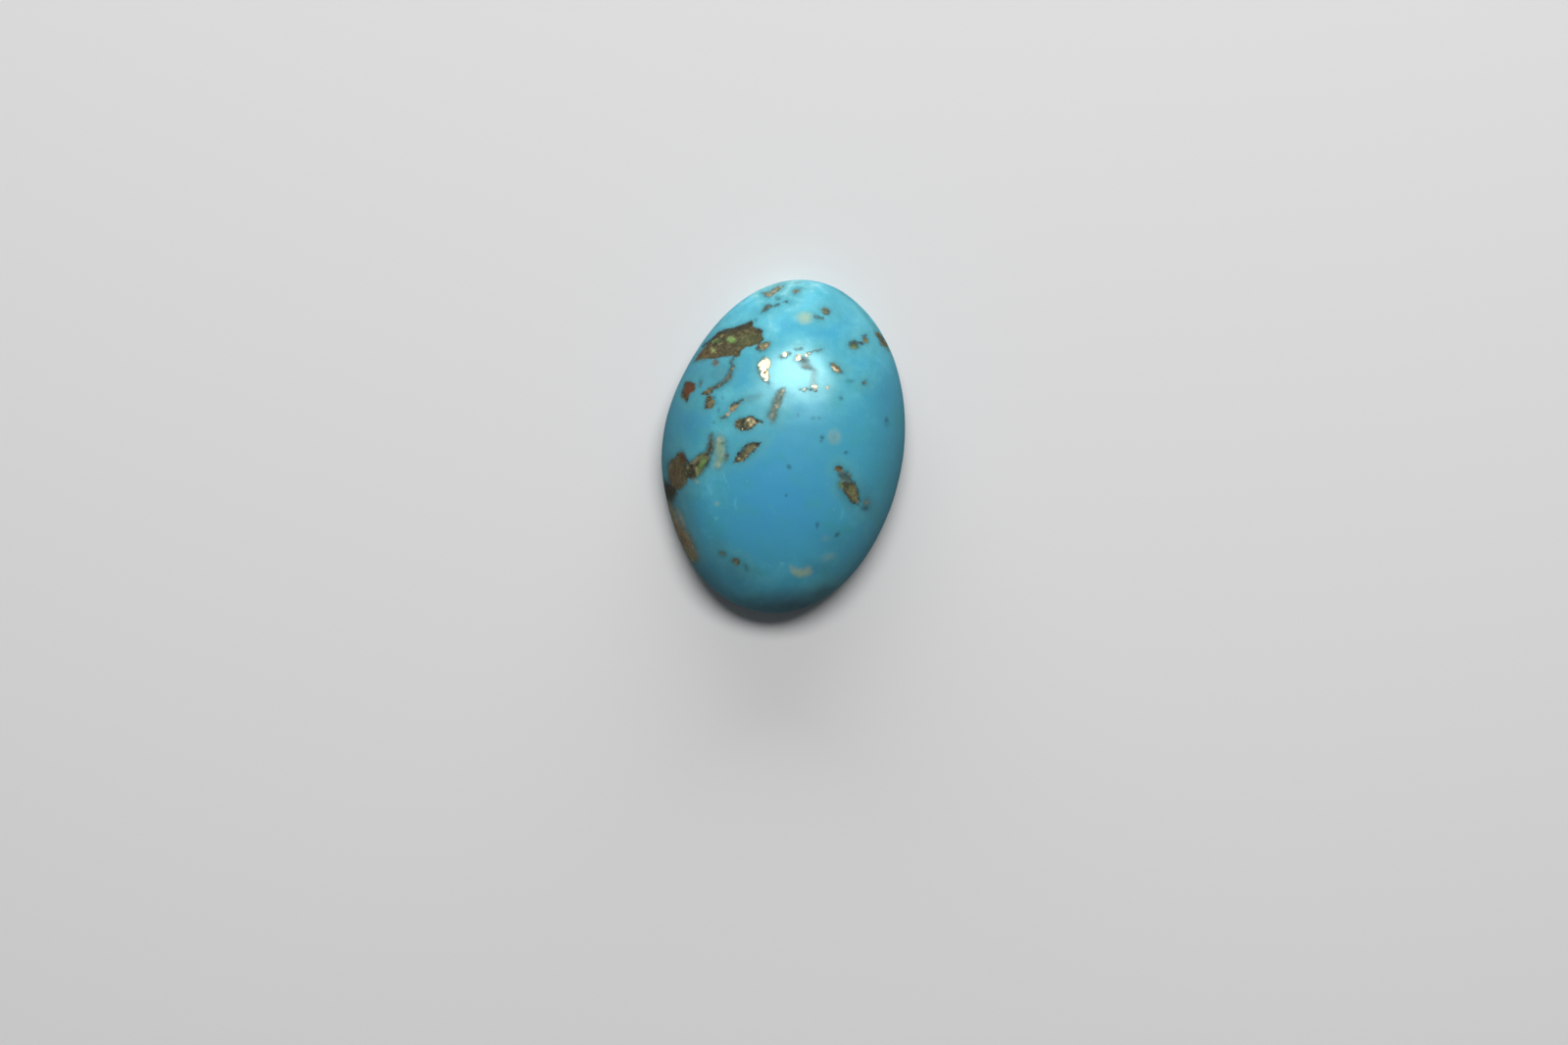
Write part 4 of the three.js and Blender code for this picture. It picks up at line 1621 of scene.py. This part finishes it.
blotches = BLOTCHES * soft_noise(tree, place, waves=1.6, detail=5.0, roughness=0.65)
blotches = blotches + SMALL_BLOTCHES * soft_noise(tree, place, waves=4.5, detail=3.0, roughness=0.6)
matrix_tone = stored(tree, "matrix tone") + blotches + GRAIN_CONTRAST * grain * (second_draw - 0.5)
matrix = colour_ramp(matrix_tone / PALEST_TONE, MATRIX_TONES)
beads = ramp(second_draw, *BEAD_DRAWS)
dark_edge = (EDGE_SHARE + BEAD_SHARE * grain * beads) * ramp(gap, *EDGE_BAND) * (1 - shine)
matrix = mixed(dark_edge, matrix, DARK_EDGE)
matrix = mixed(stored(tree, "rust") * (1 + fine), matrix, RUST_COLOUR)
green = mixed(ramp(draw, *YELLOW_DRAWS), GREEN_COLOUR, YELLOW_GREEN)
matrix = mixed(stored(tree, "green") * (1 + fine), matrix, green)
is_matrix = ramp(gap / stored(tree, "matrix soft"), 1.0, -1.0) * stored(tree, "matrix strength")
colour = mixed(is_matrix, colour, matrix)
print("with its matrix", len(tree.nodes), "nodes")

# %% Pyrite grains
PYRITE = (0.850, 0.700, 0.430, 1)
PYRITE_BAND = (-0.04, -0.10)  # millimetres, negative inside the matrix
PYRITE_TILT = 0.06
MEAN_DRAW = (0.5, 0.5, 0.5)
FLOOR_BUMPS = 0.025  # millimetres
POLISH_BUMPS = 0.004  # millimetres
POLISH_SCRATCHES = 0.0006  # millimetres

is_pyrite = maths("LESS_THAN", draw, shine) * ramp(gap, *PYRITE_BAND)
colour = mixed(is_pyrite, colour, PYRITE)
tilts = vectors("SUBTRACT", Field(tree, cells.outputs["Color"]), MEAN_DRAW)
in_cell = vectors("SUBTRACT", grain_place, Field(tree, cells.outputs["Position"]))
facet = vectors("DOT_PRODUCT", in_cell, tilts, output="Value")
polish_marks = POLISH_BUMPS * soft_noise(tree, place, waves=1.4, detail=3.0)
polish_marks = polish_marks + POLISH_SCRATCHES * soft_noise(tree, place, waves=9.0)
rough_floor = FLOOR_BUMPS * is_matrix * (1 - is_pyrite) * fine
bumps = polish_marks + rough_floor + PYRITE_TILT * is_pyrite * facet
bump = place_node(tree, "ShaderNodeBump", {"Height": bumps, "Distance": MM, "Strength": 1.0})
plug(tree, shader.inputs["Base Color"], colour)
plug(tree, shader.inputs["Metallic"], is_pyrite)
plug(tree, shader.inputs["Normal"], Field(tree, bump.outputs["Normal"]))
print("with its pyrite", len(tree.nodes), "nodes")

# %% [markdown]
# ## The waxy polish
# Polished turquoise shines like wax, not like glass: the gloss is soft, takes on a little of the blue,
# and has a thin clear layer on the crown. A glassy shader would look wet. Matrix stays dull, and the wall
# duller than the crown, so roughness and the clear layer follow the numbers on the mesh.

# %% Waxy gloss
WAXY_GLOW = (0.36, 0.95, 1.0, 1)
TURQUOISE_IOR = 1.5
DULL_ROUGHNESS = 0.60
POLISH_GAIN = 0.33
SCUFFS = 0.12
MATRIX_ROUGHNESS = 0.70
MATRIX_UNEVEN = 0.3
PYRITE_ROUGHNESS = 0.44
CLEAR_LAYER = 0.45
CLEAR_ROUGHNESS = 0.25


def mixed_value(share, a, b):
    """Value a, going over to value b as share goes from 0 to 1."""
    return a + share * (b - a)


polish = stored(tree, "polish")
scuffs = soft_noise(tree, place, waves=2.0, detail=4.0, roughness=0.7)
roughness = DULL_ROUGHNESS - POLISH_GAIN * polish + SCUFFS * scuffs
roughness = mixed_value(is_matrix, roughness, MATRIX_ROUGHNESS + MATRIX_UNEVEN * fine)
roughness = mixed_value(is_pyrite, roughness, PYRITE_ROUGHNESS)
plug(tree, shader.inputs["Roughness"], roughness)
plug(tree, shader.inputs["Coat Weight"], CLEAR_LAYER * polish * (1 - is_matrix))
shader.inputs["Coat Roughness"].default_value = CLEAR_ROUGHNESS
shader.inputs["IOR"].default_value = TURQUOISE_IOR
shader.inputs["Specular Tint"].default_value = WAXY_GLOW
print(polished.name, len(tree.nodes), "nodes")

# %% [markdown]
# ## The sawn back
# The back was cut with a saw and lapped, not polished: it is duller, with fine parallel marks, and the
# matrix runs through it as a brown web. The photograph doesn't show it, so nothing on it is placed by
# hand: cells bent by noise draw the web, and stretched noise draws the marks.

# %% Sawn back
BACK_PALER = 0.12
BACK_MOTTLED = 0.4
WEB_COLOUR = (0.075, 0.058, 0.036, 1)
WEB_CELLS_PER_MM = 0.13
WEB_BEND = 5.0  # millimetres
BEND_WAVES = 0.35  # waves a millimetre
WEB_RAGGED = 0.05
WEB_RIM, WEB_CORE = 0.035, 0.015
SAW_TURN = math.radians(24)
SAW_MARKS_PER_MM = 2.2
SAW_STRETCH = 0.03
SAW_MARK_SHARE = 0.35
SAW_MARK_FROM, SAW_MARK_FULL = 0.05, 0.25
SAW_BUMPS = 0.03  # millimetres
BACK_BUMPS = 0.02  # millimetres
SAWN_ROUGHNESS = 0.62
SAWN_UNEVEN = 0.2

sawn.use_nodes = True
tree = sawn.node_tree
shader = tree.nodes["Principled BSDF"]
place = vectors("SCALE", output_of(tree, "ShaderNodeTexCoord", "Object"), 1 / MM)
fine = soft_noise(tree, place, waves=3.0, detail=4.0, roughness=0.65)
blue = use_group(tree, body, "Color", {"Place": place, "Paler": BACK_PALER, "Mottled": BACK_MOTTLED})
bend = output_of(tree, "ShaderNodeTexNoise", "Color", {"Vector": place, "Scale": BEND_WAVES})
web_place = vectors("ADD", place, vectors("SCALE", bend, WEB_BEND))
web_inputs = {"Vector": web_place, "Scale": WEB_CELLS_PER_MM}
web = output_of(tree, "ShaderNodeTexVoronoi", "Distance", web_inputs, feature="DISTANCE_TO_EDGE")
web = web + WEB_RAGGED * fine + WEB_RAGGED * soft_noise(tree, place, waves=0.2)
colour = mixed(ramp(web, WEB_RIM, WEB_CORE), blue, WEB_COLOUR)
along_saw = {"Vector": place, "Rotation": (0, 0, SAW_TURN), "Scale": (SAW_STRETCH, SAW_MARKS_PER_MM, 1)}
marks_place = output_of(tree, "ShaderNodeMapping", "Vector", along_saw)
marks = soft_noise(tree, marks_place, waves=1.0, detail=3.0, roughness=0.6)
colour = mixed(SAW_MARK_SHARE * ramp(marks, SAW_MARK_FROM, SAW_MARK_FULL), colour, FLECK)
bumps = SAW_BUMPS * marks + BACK_BUMPS * fine
bump = place_node(tree, "ShaderNodeBump", {"Height": bumps, "Distance": MM, "Strength": 1.0})
plug(tree, shader.inputs["Base Color"], colour)
plug(tree, shader.inputs["Roughness"], SAWN_ROUGHNESS + SAWN_UNEVEN * fine)
plug(tree, shader.inputs["Normal"], Field(tree, bump.outputs["Normal"]))
print(sawn.name, len(tree.nodes), "nodes")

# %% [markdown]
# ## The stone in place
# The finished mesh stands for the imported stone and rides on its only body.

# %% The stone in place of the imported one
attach(stone, "root")
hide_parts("stone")
